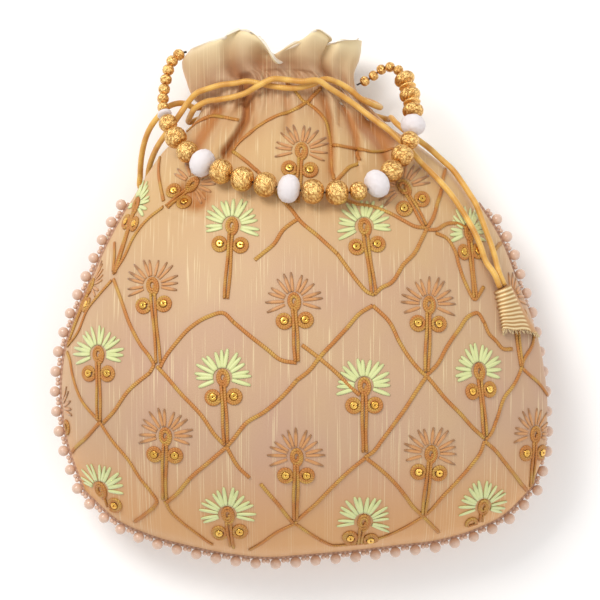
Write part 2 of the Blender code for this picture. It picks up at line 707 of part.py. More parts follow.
ground = surface_of([front, back, left_cord])
right_route = [tuple(right_start), tuple(right_start + right_up * straight)]
right_route += lay_route(ground, RIGHT_TAIL_OUTER, half)
right_route += neck_ring(NECK_BEHIND, -1, RIGHT_CORD_BEHIND, wrap)
right_route += neck_ring(RIGHT_CORD_TURN, 1, RIGHT_TURN_AT, wrap)
right_route += lay_route(ground, RIGHT_FRONT + RIGHT_TAIL_INNER, half)
right_route += [tuple(right_end + right_up * straight), tuple(right_end)]
right_line = settled(ground, spline(right_route, CORD_STEP).tolist(), wrap)
right_cord = tube("drawcord_right", right_line, CORD_DIAMETER, 8, cord_satin)

bead_strand(surface_of([front, back, left_cord, right_cord]), gold, white, thread)
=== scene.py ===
"""A potli, the small drawstring pouch of embroidered silk that is carried with festive clothes. It lies
on its back, filled out, on a pale table, and is seen from straight above."""

import json
import math

import bmesh
import bpy
import numpy as np
from mathutils import Matrix, Vector
from mathutils import noise as noise_field
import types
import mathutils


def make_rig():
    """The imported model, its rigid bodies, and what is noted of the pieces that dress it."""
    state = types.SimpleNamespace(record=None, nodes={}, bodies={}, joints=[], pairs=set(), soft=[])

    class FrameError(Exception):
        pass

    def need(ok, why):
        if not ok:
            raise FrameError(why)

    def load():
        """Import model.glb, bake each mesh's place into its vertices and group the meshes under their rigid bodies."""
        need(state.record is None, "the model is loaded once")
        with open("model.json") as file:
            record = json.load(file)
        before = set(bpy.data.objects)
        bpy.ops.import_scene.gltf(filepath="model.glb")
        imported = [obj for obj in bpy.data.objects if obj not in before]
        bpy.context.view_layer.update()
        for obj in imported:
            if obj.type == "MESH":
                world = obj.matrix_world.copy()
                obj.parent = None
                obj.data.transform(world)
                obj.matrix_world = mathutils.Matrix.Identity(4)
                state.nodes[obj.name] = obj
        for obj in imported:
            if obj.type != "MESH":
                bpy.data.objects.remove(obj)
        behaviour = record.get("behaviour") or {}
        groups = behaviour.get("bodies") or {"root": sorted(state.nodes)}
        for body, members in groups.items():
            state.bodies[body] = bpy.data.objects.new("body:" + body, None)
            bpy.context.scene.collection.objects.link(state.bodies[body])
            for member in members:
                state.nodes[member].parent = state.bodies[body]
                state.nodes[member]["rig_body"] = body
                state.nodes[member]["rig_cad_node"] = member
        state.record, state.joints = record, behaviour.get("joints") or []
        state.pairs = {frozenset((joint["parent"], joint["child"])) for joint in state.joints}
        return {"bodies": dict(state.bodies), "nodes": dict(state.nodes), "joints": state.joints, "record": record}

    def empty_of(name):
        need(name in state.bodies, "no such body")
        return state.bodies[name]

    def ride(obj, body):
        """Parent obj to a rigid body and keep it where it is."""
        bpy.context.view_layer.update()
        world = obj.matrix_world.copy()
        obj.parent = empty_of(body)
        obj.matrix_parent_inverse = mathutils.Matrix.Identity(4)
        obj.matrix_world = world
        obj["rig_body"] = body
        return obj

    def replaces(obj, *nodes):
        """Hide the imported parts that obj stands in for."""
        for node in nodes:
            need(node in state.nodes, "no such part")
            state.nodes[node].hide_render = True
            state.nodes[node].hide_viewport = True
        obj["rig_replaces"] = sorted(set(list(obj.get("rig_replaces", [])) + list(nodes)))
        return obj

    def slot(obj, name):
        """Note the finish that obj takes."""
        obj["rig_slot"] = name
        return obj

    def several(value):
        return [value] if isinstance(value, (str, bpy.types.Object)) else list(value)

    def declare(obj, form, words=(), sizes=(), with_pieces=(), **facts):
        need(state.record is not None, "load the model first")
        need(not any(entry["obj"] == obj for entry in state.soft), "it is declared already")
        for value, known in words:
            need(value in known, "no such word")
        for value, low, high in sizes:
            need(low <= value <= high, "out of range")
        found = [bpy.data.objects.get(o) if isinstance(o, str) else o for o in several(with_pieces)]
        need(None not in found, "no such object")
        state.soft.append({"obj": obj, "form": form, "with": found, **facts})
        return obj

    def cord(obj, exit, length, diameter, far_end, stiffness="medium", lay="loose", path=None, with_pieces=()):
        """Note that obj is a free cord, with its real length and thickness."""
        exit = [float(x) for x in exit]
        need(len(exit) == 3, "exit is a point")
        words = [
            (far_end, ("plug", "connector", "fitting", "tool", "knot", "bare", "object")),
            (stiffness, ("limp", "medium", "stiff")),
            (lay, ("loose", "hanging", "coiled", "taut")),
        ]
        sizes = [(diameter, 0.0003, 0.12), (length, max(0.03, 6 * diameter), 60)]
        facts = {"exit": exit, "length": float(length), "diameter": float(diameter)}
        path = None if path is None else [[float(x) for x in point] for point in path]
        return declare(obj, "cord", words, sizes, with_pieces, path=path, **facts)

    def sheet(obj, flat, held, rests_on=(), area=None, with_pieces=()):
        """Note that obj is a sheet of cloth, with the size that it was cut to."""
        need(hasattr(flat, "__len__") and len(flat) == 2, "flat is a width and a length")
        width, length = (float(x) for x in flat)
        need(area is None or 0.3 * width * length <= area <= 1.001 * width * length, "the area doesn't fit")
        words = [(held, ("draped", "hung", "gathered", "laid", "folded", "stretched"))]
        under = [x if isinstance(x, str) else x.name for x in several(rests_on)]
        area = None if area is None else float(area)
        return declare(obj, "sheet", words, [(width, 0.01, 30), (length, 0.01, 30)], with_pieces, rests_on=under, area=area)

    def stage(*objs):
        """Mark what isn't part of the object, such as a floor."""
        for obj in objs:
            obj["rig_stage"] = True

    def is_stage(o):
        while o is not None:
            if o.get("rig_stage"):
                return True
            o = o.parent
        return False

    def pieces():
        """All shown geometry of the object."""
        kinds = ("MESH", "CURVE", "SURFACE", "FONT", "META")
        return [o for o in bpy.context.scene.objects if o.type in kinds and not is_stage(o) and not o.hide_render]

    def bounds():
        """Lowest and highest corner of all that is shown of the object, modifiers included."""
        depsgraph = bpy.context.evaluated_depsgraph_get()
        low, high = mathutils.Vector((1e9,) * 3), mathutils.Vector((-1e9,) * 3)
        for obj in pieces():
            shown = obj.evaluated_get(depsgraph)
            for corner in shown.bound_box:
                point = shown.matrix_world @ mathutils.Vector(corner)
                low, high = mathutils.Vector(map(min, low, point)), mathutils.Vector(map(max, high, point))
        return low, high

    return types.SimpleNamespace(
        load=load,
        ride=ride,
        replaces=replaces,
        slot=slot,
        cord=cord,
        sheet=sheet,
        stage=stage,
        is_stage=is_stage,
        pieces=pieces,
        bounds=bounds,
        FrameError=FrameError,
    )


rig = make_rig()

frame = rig.load()
CAD_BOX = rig.bounds()

# Camera, light and table.
# The pouch is photographed from straight above through a long lens, 272.7 mm of the table across
# the picture, under a big soft light from the top left in a white room.
PICTURE_WIDTH = 0.2727
PICTURE_MIDDLE = (-0.00136, 0.04545)
SEAM_PLANE = 0.027
CAMERA_HEIGHT = 1.25


def hex_colour(code):
    """A colour written as sRGB hex, in the linear light that shaders count in."""
    parts = [int(code[i : i + 2], 16) / 255 for i in (0, 2, 4)]
    return (*[c / 12.92 if c <= 0.04045 else ((c + 0.055) / 1.055) ** 2.4 for c in parts], 1.0)


def add_node(tree, kind, inputs=None, **settings):
    """Adds a shader node, makes its settings, and links or fills its inputs. Returns the node."""
    made = tree.nodes.new("ShaderNode" + kind)
    for name, value in settings.items():
        setattr(made, name, value)
    for name, value in (inputs or {}).items():
        if isinstance(value, bpy.types.NodeSocket):
            tree.links.new(value, made.inputs[name])
        else:
            made.inputs[name].default_value = value
    return made


def new_material(name, **sockets):
    """A material whose Principled shader has these sockets set: it, its node tree and its shader."""
    made = bpy.data.materials.new(name)
    made.use_nodes = True
    shader = made.node_tree.nodes["Principled BSDF"]
    for socket, value in sockets.items():
        shader.inputs[socket.replace("_", " ")].default_value = value
    return made, made.node_tree, shader


def grained(name, scale, detail, dark, light, relief=0.0, depth=0.0002, **sockets):
    """A material whose colour runs from dark to light with one noise, and whose relief follows it.
    Returns the material, its node tree and the noise."""
    made, tree, shader = new_material(name, **sockets)
    grain = add_node(tree, "TexNoise", {"Scale": scale, "Detail": detail})
    tones = add_node(
        tree,
        "Mix",
        {"Factor": grain.outputs["Fac"], "A": hex_colour(dark), "B": hex_colour(light)},
        data_type="RGBA",
    )
    tree.links.new(tones.outputs["Result"], shader.inputs["Base Color"])
    if relief:
        height = {"Height": grain.outputs["Fac"], "Strength": relief, "Distance": depth}
        tree.links.new(add_node(tree, "Bump", height).outputs[0], shader.inputs["Normal"])
    return made, tree, grain


camera = bpy.data.objects.new("camera", bpy.data.cameras.new("camera"))
camera.data.sensor_width = 36
camera.data.lens = 36 * (CAMERA_HEIGHT - SEAM_PLANE) / PICTURE_WIDTH
camera.location = (*PICTURE_MIDDLE, CAMERA_HEIGHT)
camera.data.clip_end = 20
bpy.context.scene.collection.objects.link(camera)
bpy.context.scene.camera = camera
bpy.context.scene.view_settings.view_transform = "Standard"

for name, place, size, power, tint in (
    ("window_light", (-0.55, 0.75, 1.10), 0.55, 11.2, "fffaf5"),
    ("fill_light", (0.80, -0.50, 0.90), 1.2, 3.5, "fffaf5"),
):
    lamp = bpy.data.lights.new(name, "AREA")
    lamp.shape = "SQUARE"
    lamp.size = size
    lamp.energy = power
    lamp.color = hex_colour(tint)[:3]
    holder = bpy.data.objects.new(name, lamp)
    holder.location = place
    aim = Vector((0, 0.04, 0.03)) - Vector(place)
    holder.rotation_euler = aim.to_track_quat("-Z", "Y").to_euler()
    bpy.context.scene.collection.objects.link(holder)

world = bpy.data.worlds.new("white_room")
world.use_nodes = True
world.node_tree.nodes["Background"].inputs["Color"].default_value = hex_colour("ffffff")
world.node_tree.nodes["Background"].inputs["Strength"].default_value = 0.74
bpy.context.scene.world = world

# Matt emulsion paint: white with a faint mottle of a few centimetres.
table_paint, _, _ = grained("matt_white_paint", 9.0, 2.0, "fbfbfb", "ffffff", Roughness=0.9)
table = bpy.data.meshes.new("table")
corners = [(-3, -3, -0.0003), (3, -3, -0.0003), (3, 3, -0.0003), (-3, 3, -0.0003)]
table.from_pydata(corners, [], [(0, 1, 2, 3)])
table.materials.append(table_paint)
table_top = bpy.data.objects.new("table", table)
bpy.context.scene.collection.objects.link(table_top)
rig.stage(table_top)

# The two panels of the pouch.
# Each is one cut of slub silk with a cotton lining, gathered on the drawcords at the neck, with its
# plain upper end left as a frill. They are sewn together down the sides and along the bottom.
# Side seams: v, then x and y of the left and the right one, v being -1 at the frill's rim, 0 at the
# neck and 1 at the bottom corners.
SIDE_SEAMS = [
    (-1.00, -0.0514, 0.1591, 0.0268, 0.1632),
    (-0.65, -0.0550, 0.1532, 0.0259, 0.1559),
    (-0.35, -0.0532, 0.1454, 0.0232, 0.1473),
    (-0.12, -0.0500, 0.1375, 0.0252, 0.1395),
    (0.00, -0.0462, 0.1320, 0.0295, 0.1340),
    (0.07, -0.0515, 0.1235, 0.0405, 0.1235),
    (0.15, -0.0623, 0.1141, 0.0545, 0.1141),
    (0.25, -0.0709, 0.1023, 0.0682, 0.1025),
    (0.36, -0.0804, 0.0864, 0.0816, 0.0864),
    (0.47, -0.0892, 0.0700, 0.0912, 0.0700),
    (0.57, -0.0957, 0.0550, 0.0961, 0.0550),
    (0.67, -0.1027, 0.0386, 0.1010, 0.0386),
    (0.78, -0.1085, 0.0182, 0.1050, 0.0182),
    (0.88, -0.1089, -0.0040, 0.1076, -0.0040),
    (0.94, -0.1060, -0.0210, 0.1078, -0.0210),
    (1.00, -0.0988, -0.0409, 0.1040, -0.0390),
]
NECK_RISE = 0.0130
# Bottom seam: place across the panel, and how far it hangs below its corners.
BOTTOM_EDGE = [
    (-1.00, 0.0),
    (-0.87, 0.0124),
    (-0.71, 0.0203),
    (-0.53, 0.0256),
    (-0.36, 0.0292),
    (-0.19, 0.0310),
    (0.00, 0.0299),
    (0.20, 0.0283),
    (0.40, 0.0261),
    (0.57, 0.0241),
    (0.74, 0.0193),
    (0.89, 0.0114),
    (1.00, 0.0),
]
SEAM_GAP = 0.0005
SEAM_LIP = 0.0014
CLOTH_THICKNESS = 0.0011
# Fullness: v, how far front and back stand off the seams' plane, and that plane's height.
FULLNESS = [
    (-1.00, 0.0220, 0.0190, 0.0250),
    (-0.65, 0.0215, 0.0180, 0.0250),
    (-0.35, 0.0180, 0.0155, 0.0248),
    (-0.12, 0.0135, 0.0125, 0.0245),
    (0.00, 0.0125, 0.0120, 0.0245),
    (0.07, 0.0150, 0.0140, 0.0245),
    (0.15, 0.0200, 0.0170, 0.0248),
    (0.25, 0.0275, 0.0200, 0.0252),
    (0.36, 0.0350, 0.0235, 0.0258),
    (0.47, 0.0420, 0.0274, 0.0265),
    (0.57, 0.0470, 0.0305, 0.0272),
    (0.67, 0.0505, 0.0329, 0.0278),
    (0.78, 0.0520, 0.0340, 0.0280),
]
ROUND_FROM = 0.78
# Folds: place across at the neck, the lower end and the rim; reach down v; depth at the neck and at
# the rim; width.
FRONT_FOLDS = [
    (-0.82, -0.84, -0.86, 0.30, 0.0030, 0.0025, 0.09),
    (-0.48, -0.60, -0.42, 0.34, 0.0064, 0.0020, 0.09),
    (-0.18, -0.30, 0.13, 0.20, 0.0035, 0.0130, 0.12),
    (0.20, 0.16, 0.34, 0.28, 0.0032, 0.0030, 0.10),
    (0.62, 0.38, 0.60, 0.34, 0.0056, 0.0065, 0.09),
    (0.86, 0.70, 0.88, 0.42, 0.0060, 0.0020, 0.10),
]
BACK_FOLDS = [
    (-0.70, -0.72, -0.66, 0.34, 0.0045, 0.0050, 0.10),
    (-0.34, -0.36, -0.30, 0.26, 0.0040, 0.0020, 0.10),
    (0.02, 0.00, 0.04, 0.34, 0.0050, 0.0060, 0.11),
    (0.38, 0.36, 0.36, 0.26, 0.0040, 0.0020, 0.10),
    (0.72, 0.70, 0.70, 0.34, 0.0045, 0.0050, 0.10),
]
FRONT_RIM = [
    (-1.00, 0.0),
    (-0.93, 0.0006),
    (-0.61, 0.0030),
    (-0.30, 0.0052),
    (-0.14, -0.0010),
    (0.00, -0.0098),
    (0.16, -0.0050),
    (0.33, 0.0003),
    (0.49, 0.0040),
    (0.58, -0.0003),
    (0.80, -0.0006),
    (1.00, 0.0),
]
BACK_RIM = [
    (-1.0, 0.0),
    (-0.6, -0.0020),
    (-0.3, -0.0080),
    (0.0, -0.0180),
    (0.2, -0.0160),
    (0.5, -0.0050),
    (1.0, 0.0),
]
OVERHANG = 0.0105  # how strongly the filled front swells out over its right seam
# Creases of the front, in mm: width, depth, how far the cloth on its left stands higher, and its way.
CREASES = [
    (1.9, 6.5, -2.2, [(-26.4, 136.0), (-25.5, 130.9), (-25.9, 126.0), (-29.0, 119.5), (-35.0, 110.9)]),
    (2.6, -1.5, 0.0, [(-15.5, 139.0), (-22.7, 127.3), (-29.5, 114.5)]),
    (0.9, 1.6, 0.0, [(-29.5, 137.0), (-29.0, 129.0)]),
    (1.0, 1.2, 0.0, [(-24.0, 137.0), (-21.5, 129.0), (-21.8, 124.0)]),
    (1.5, 3.2, 1.8, [(9.5, 138.0), (12.2, 127.0), (12.9, 115.0), (13.0, 101.5)]),
    (0.9, 2.2, 0.0, [(16.3, 134.0), (16.1, 124.0)]),
    (1.5, 3.4, 1.6, [(19.0, 131.5), (23.9, 118.0), (24.6, 109.5)]),
    (5.0, 5.5, 0.0, [(28.0, 126.0), (34.0, 121.5), (38.5, 118.0)]),
    (5.2, 6.0, 0.0, [(-52.0, 92.5), (-45.5, 89.5)]),
    (2.0, -1.7, 0.0, [(-61.0, 86.5), (-52.0, 82.6), (-46.0, 83.6), (-41.0, 88.6)]),
    (2.2, 1.4, 0.0, [(5.0, 91.0), (13.0, 88.0), (19.0, 91.5)]),
    (3.0, 1.6, 0.0, [(41.0, 100.0), (46.0, 92.0)]),
    (3.4, 4.0, 0.0, [(-38.0, 131.0), (-44.0, 121.0), (-50.0, 110.0)]),
    (2.2, -1.8, 0.0, [(-34.0, 128.0), (-39.5, 116.0), (-42.0, 104.0)]),
    (2.6, 3.2, 1.2, [(31.0, 124.0), (36.5, 112.0), (41.0, 101.0)]),
    (2.0, 2.0, 0.0, [(-8.0, 137.0), (-6.5, 128.0), (-7.5, 121.0)]),
]
# Where the frill's middle lobe laps over its right one: place across, width, shift and height in mm.
LAP_PLACE, LAP_WIDTH, LAP_SHIFT, LAP_HEIGHT = 0.60, 0.055, 5.0, 5.0


def smooth(table, at, column=1):
    """A cubic curve through one column of a table, read at some places of its first column."""
    knots = np.array([row[0] for row in table])
    values = np.array([row[column] for row in table])
    slopes = np.gradient(values, knots)
    at = np.clip(at, knots[0], knots[-1])
    i = np.clip(np.searchsorted(knots, at) - 1, 0, len(knots) - 2)
    width = knots[i + 1] - knots[i]
    t = (at - knots[i]) / width
    rise = values[i + 1] - values[i]
    return (
        values[i]
        + rise * (3 * t**2 - 2 * t**3)
        + width * slopes[i] * (t**3 - 2 * t**2 + t)
        + width * slopes[i + 1] * (t**3 - t**2)
    )


def fold_depth(folds, u, v):
    depth = np.zeros_like(u)
    for at_neck, at_end, at_rim, reach, deep, deep_at_rim, width in folds:
        down = np.clip(v / reach, 0, 1)
        up = np.clip(-v, 0, 1)
        middle = at_neck + (at_end - at_neck) * down + (at_rim - at_neck) * up
        here = np.where(v < 0, deep + (deep_at_rim - deep) * up, deep * (1 - down) ** 1.4)
        depth += here * np.exp(-(((u - middle) / width) ** 2))
    return depth * (1 - np.abs(u) ** 6)


def gathers(u, v, side):
    """Small pleats that the drawn cord makes: they fade out down the body and up the frill."""
    phase = 1.3 * np.sin(3.1 * u + side) + 0.6 * np.sin(7.3 * u + 2 * side)
    fine = np.sin(44 * u + 4 * phase) * 0.6 + np.sin(71 * u + 3 * phase + 1.0) * 0.4
    fade = np.exp(-(((v - 0.01) / 0.06) ** 2)) + 0.30 * np.exp(-(((v - 0.02) / 0.20) ** 2))
    return 0.00085 * fine * fade * (1 - np.abs(u) ** 8)


def slack(x, y, side):
    """Soft dents of the filled cloth, under a millimetre deep."""
    x, y = x * 1000, y * 1000
    slow = np.sin(x / 19 + 0.6 * np.sin(y / 23) + side) * np.sin(y / 27 + 0.8 * np.sin(x / 31))
    soft = np.sin(x / 7.5 + 1.1 * np.sin(y / 12 + side)) * np.sin(y / 16 + 1.3)
    return 0.0006 * slow + 0.00022 * soft


def crease_depth(x, y):
    """How deep the front's creases are, in metres."""
    x, y = x * 1000, y * 1000
    total = np.zeros_like(x)
    for width, deep, step, way in CREASES:
        near = np.full_like(x, 1e9)
        across = np.zeros_like(x)
        for (ax, ay), (bx, by) in zip(way, way[1:]):
            long = math.hypot(bx - ax, by - ay)
            run_x, run_y = (bx - ax) / long, (by - ay) / long
            along = np.clip((x - ax) * run_x + (y - ay) * run_y, 0, long)
            off_x, off_y = x - ax - along * run_x, y - ay - along * run_y
            far = np.hypot(off_x, off_y)
            side_of = off_x * run_y - off_y * run_x
            across = np.where(far < near, np.where(side_of > 0, far, -far), across)
            near = np.minimum(near, far)
        total += deep * np.exp(-((near / width) ** 2))
        total += step * np.tanh(across / width * 1.2) * np.exp(-((near / (4 * width)) ** 2))
    return total / 1000


def lap(u, v):
    """Where one lobe of the frill lies over the next: sideways shift and height."""
    up = np.clip(-v / 0.75, 0, 1) ** 1.2
    t = (u - LAP_PLACE) / LAP_WIDTH
    shift = -LAP_SHIFT * t * np.exp(-(t**2)) * up
    rise = -LAP_HEIGHT * np.tanh(1.5 * t) * np.exp(-((t / 3) ** 2)) * up / 2
    return shift / 1000, rise / 1000


def cloth(u, v, side):
    """Points of the cloth's outer surface. side is 1 for the front panel and -1 for the back."""
    u, v = np.broadcast_arrays(np.asarray(u, float), np.asarray(v, float))
    share = (u + 1) / 2
    x = (1 - share) * smooth(SIDE_SEAMS, v, 1) + share * smooth(SIDE_SEAMS, v, 3)
    y = (1 - share) * smooth(SIDE_SEAMS, v, 2) + share * smooth(SIDE_SEAMS, v, 4)
    fall = np.clip(v, 0, 1) ** 2.5
    y = y + NECK_RISE * (1 - fall) * np.clip(1 + v, 0, 1) ** 0.7 * (1 - np.abs(u) ** 2.2)
    y = y - smooth(BOTTOM_EDGE, u) * fall
    y = y + smooth(FRONT_RIM if side > 0 else BACK_RIM, u) * np.clip(-v, 0, 1) ** 1.6
    past = np.clip((v - ROUND_FROM) / (1 - ROUND_FROM), 0, 1)
    depth = smooth(FULLNESS, v, 1 if side > 0 else 2)
    depth = depth * (1 - past**2.2) ** 0.55 * (1 - np.abs(u) ** 2.5) ** 0.6
    edge = (1 - np.abs(u) ** 10) * (1 - past**6)
    depth = depth - fold_depth(FRONT_FOLDS if side > 0 else BACK_FOLDS, u, v)
    depth = depth + (gathers(u, v, side) + slack(x, y, side)) * edge
    if side > 0:
        depth = depth - crease_depth(x, y) * edge
        shift, rise = lap(u, v)
        right = np.clip(u, 0, 1)
        swell = OVERHANG * np.clip((v - 0.45) / 0.3, 0, 1) * (1 - past**3)
        x = x + shift + swell * right**6 * (1 - right**40)
        depth = depth + rise
    z = smooth(FULLNESS, v, 3) + side * (depth + SEAM_GAP / 2 + SEAM_LIP)
    return np.stack([x, y, np.maximum(z, 0.0)], axis=-1)


def cloth_frame(u, v, side):
    """Where on the cloth a place is, its two directions per unit of u and v, and its outward normal."""
    step = 1e-4
    here = cloth(u, v, side)
    over = cloth(np.clip(u + step, -1, 1), v, side) - cloth(np.clip(u - step, -1, 1), v, side)
    down = cloth(u, np.clip(v + step, -1, 1), side) - cloth(u, np.clip(v - step, -1, 1), side)
    out = np.cross(down, over) * side
    out /= np.maximum(np.linalg.norm(out, axis=-1, keepdims=True), 1e-12)
    return here, over / (2 * step), down / (2 * step), out


def place_on_cloth(x, y, side):
    """The u and v of places given by x and y, and which of them the panel really has."""
    x, y = np.asarray(x, float), np.asarray(y, float)
    u, v = np.clip(x / 0.11, -0.9, 0.9), np.clip(0.85 - y / 0.16, -0.5, 0.95)
    step = 1e-4
    for _ in range(25):
        here = cloth(u, v, side)
        over = (cloth(np.clip(u + step, -1, 1), v, side) - here) / step
        down = (cloth(u, np.clip(v + step, -1, 1), side) - here) / step
        dx, dy = x - here[..., 0], y - here[..., 1]
        turn = over[..., 0] * down[..., 1] - over[..., 1] * down[..., 0]
        turn = np.where(np.abs(turn) < 1e-6, 1e-6, turn)
        u = np.clip(u + 0.8 * (dx * down[..., 1] - dy * down[..., 0]) / turn, -0.995, 0.995)
        v = np.clip(v + 0.8 * (dy * over[..., 0] - dx * over[..., 1]) / turn, -0.99, 0.993)
    here = cloth(u, v, side)
    return u, v, np.hypot(here[..., 0] - x, here[..., 1] - y) < 0.0012


def finished(name, mesh, material, body="bag", slot="embroidered_silk", replaces=()):
    """Puts a mesh in the scene as a piece that rides on a body, with its finish."""
    made = bpy.data.objects.new(name, mesh)
    if material is not None:
        mesh.materials.append(material)
    bpy.context.scene.collection.objects.link(made)
    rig.ride(made, body)
    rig.slot(made, slot)
    if replaces:
        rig.replaces(made, *replaces)
    return made


# Slub dupion silk: the weft thickens here and there into raised pale lines. It shines softly, cream
# in the light. The deep amber in its folds, where light passes through it, is painted shade, as are its warmer seams;
# its yellower neck and lighter frill are painted light.
silk, tree, shader = new_material(
    "slub_dupion_silk",
    Roughness=0.50,
    Sheen_Weight=0.30,
    Sheen_Roughness=0.4,
    Sheen_Tint=hex_colour("fff0dc"),
    Specular_IOR_Level=0.35,
)
weave = add_node(tree, "Attribute", attribute_name="weave")
shade = add_node(tree, "Attribute", attribute_name="shade")
parts = add_node(tree, "SeparateXYZ", {"Vector": shade.outputs["Vector"]})
# Slubs up to half a millimetre wide and 40 mm long, drawn coarser than the real 0.3 mm ones.
stretched = add_node(
    tree, "VectorMath", {0: weave.outputs["Vector"], 1: (1800.0, 26.0, 1.0)}, operation="MULTIPLY"
)
slub = add_node(tree, "TexNoise", {"Vector": stretched.outputs[0], "Scale": 1.0, "Detail": 1.5})
slub_line = add_node(
    tree,
    "MapRange",
    {"Value": slub.outputs["Fac"], "From Min": 0.585, "From Max": 0.70},
    interpolation_type="SMOOTHSTEP",
)
# The colour drifts over a few centimetres: painted warm light, bounced about between the folds.
drift = add_node(tree, "TexNoise", {"Vector": weave.outputs["Vector"], "Scale": 22.0, "Detail": 3.0})
drift_level = add_node(
    tree, "MapRange", {"Value": drift.outputs["Fac"], "From Min": 0.35, "From Max": 0.65}
)
tone = add_node(
    tree,
    "Mix",
    {"Factor": drift_level.outputs[0], "A": hex_colour("bb977e"), "B": hex_colour("c09f7c")},
    data_type="RGBA",
)
painted_frill_light = add_node(tree, "Attribute", attribute_name="painted_frill_light")
slub_amount = add_node(tree, "Math", {0: slub_line.outputs[0], 1: 0.52}, operation="MULTIPLY")
colour = tone.outputs["Result"]
for amount, code in (
    # Painted light: yellower towards the neck and on the frill.
    (parts.outputs["Y"], "caa672"),  # yellower towards the neck
    # Painted shade: warmer along the bottom and the side seams.
    (parts.outputs["Z"], "d8994f"),  # warm along the seams
    # Painted shade: amber in the hollows of the folds and creases.
    (parts.outputs["X"], "ad6827"),  # amber in the hollows
    # Painted light: the frill lighter, less so at its left end.
    (painted_frill_light.outputs["Fac"], "e8d8ac"),  # pale where light comes through the frill
    (slub_amount.outputs[0], "ead6aa"),  # the slubs
):
    laid = add_node(
        tree, "Mix", {"Factor": amount, "A": colour, "B": hex_colour(code)}, data_type="RGBA"
    )
    colour = laid.outputs["Result"]
tree.links.new(colour, shader.inputs["Base Color"])
# Plain weave, drawn at 0.55 mm because the real 0.15 mm would not show.
threads = add_node(
    tree, "VectorMath", {0: weave.outputs["Vector"], 1: (1800.0, 1500.0, 1.0)}, operation="MULTIPLY"
)
thread_grain = add_node(tree, "TexNoise", {"Vector": threads.outputs[0], "Scale": 1.0, "Detail": 2.0})
relief = add_node(
    tree,
    "Math",
    {0: slub_line.outputs[0], 1: 0.8, 2: thread_grain.outputs["Fac"]},
    operation="MULTIPLY_ADD",
)
bump = add_node(tree, "Bump", {"Height": relief.outputs[0], "Strength": 0.35, "Distance": 0.00025})
tree.links.new(bump.outputs[0], shader.inputs["Normal"])

# Undyed cotton lining: matt and nearly white.
lining, tree, grain = grained(
    "undyed_cotton_lining", 1.0, 2.0, "e3d6c0", "f3ebdc", relief=0.3, Roughness=0.85
)
weave = add_node(tree, "Attribute", attribute_name="weave")
spread = add_node(
    tree, "VectorMath", {0: weave.outputs["Vector"], 1: (900.0, 900.0, 1.0)}, operation="MULTIPLY"
)
tree.links.new(spread.outputs[0], grain.inputs["Vector"])


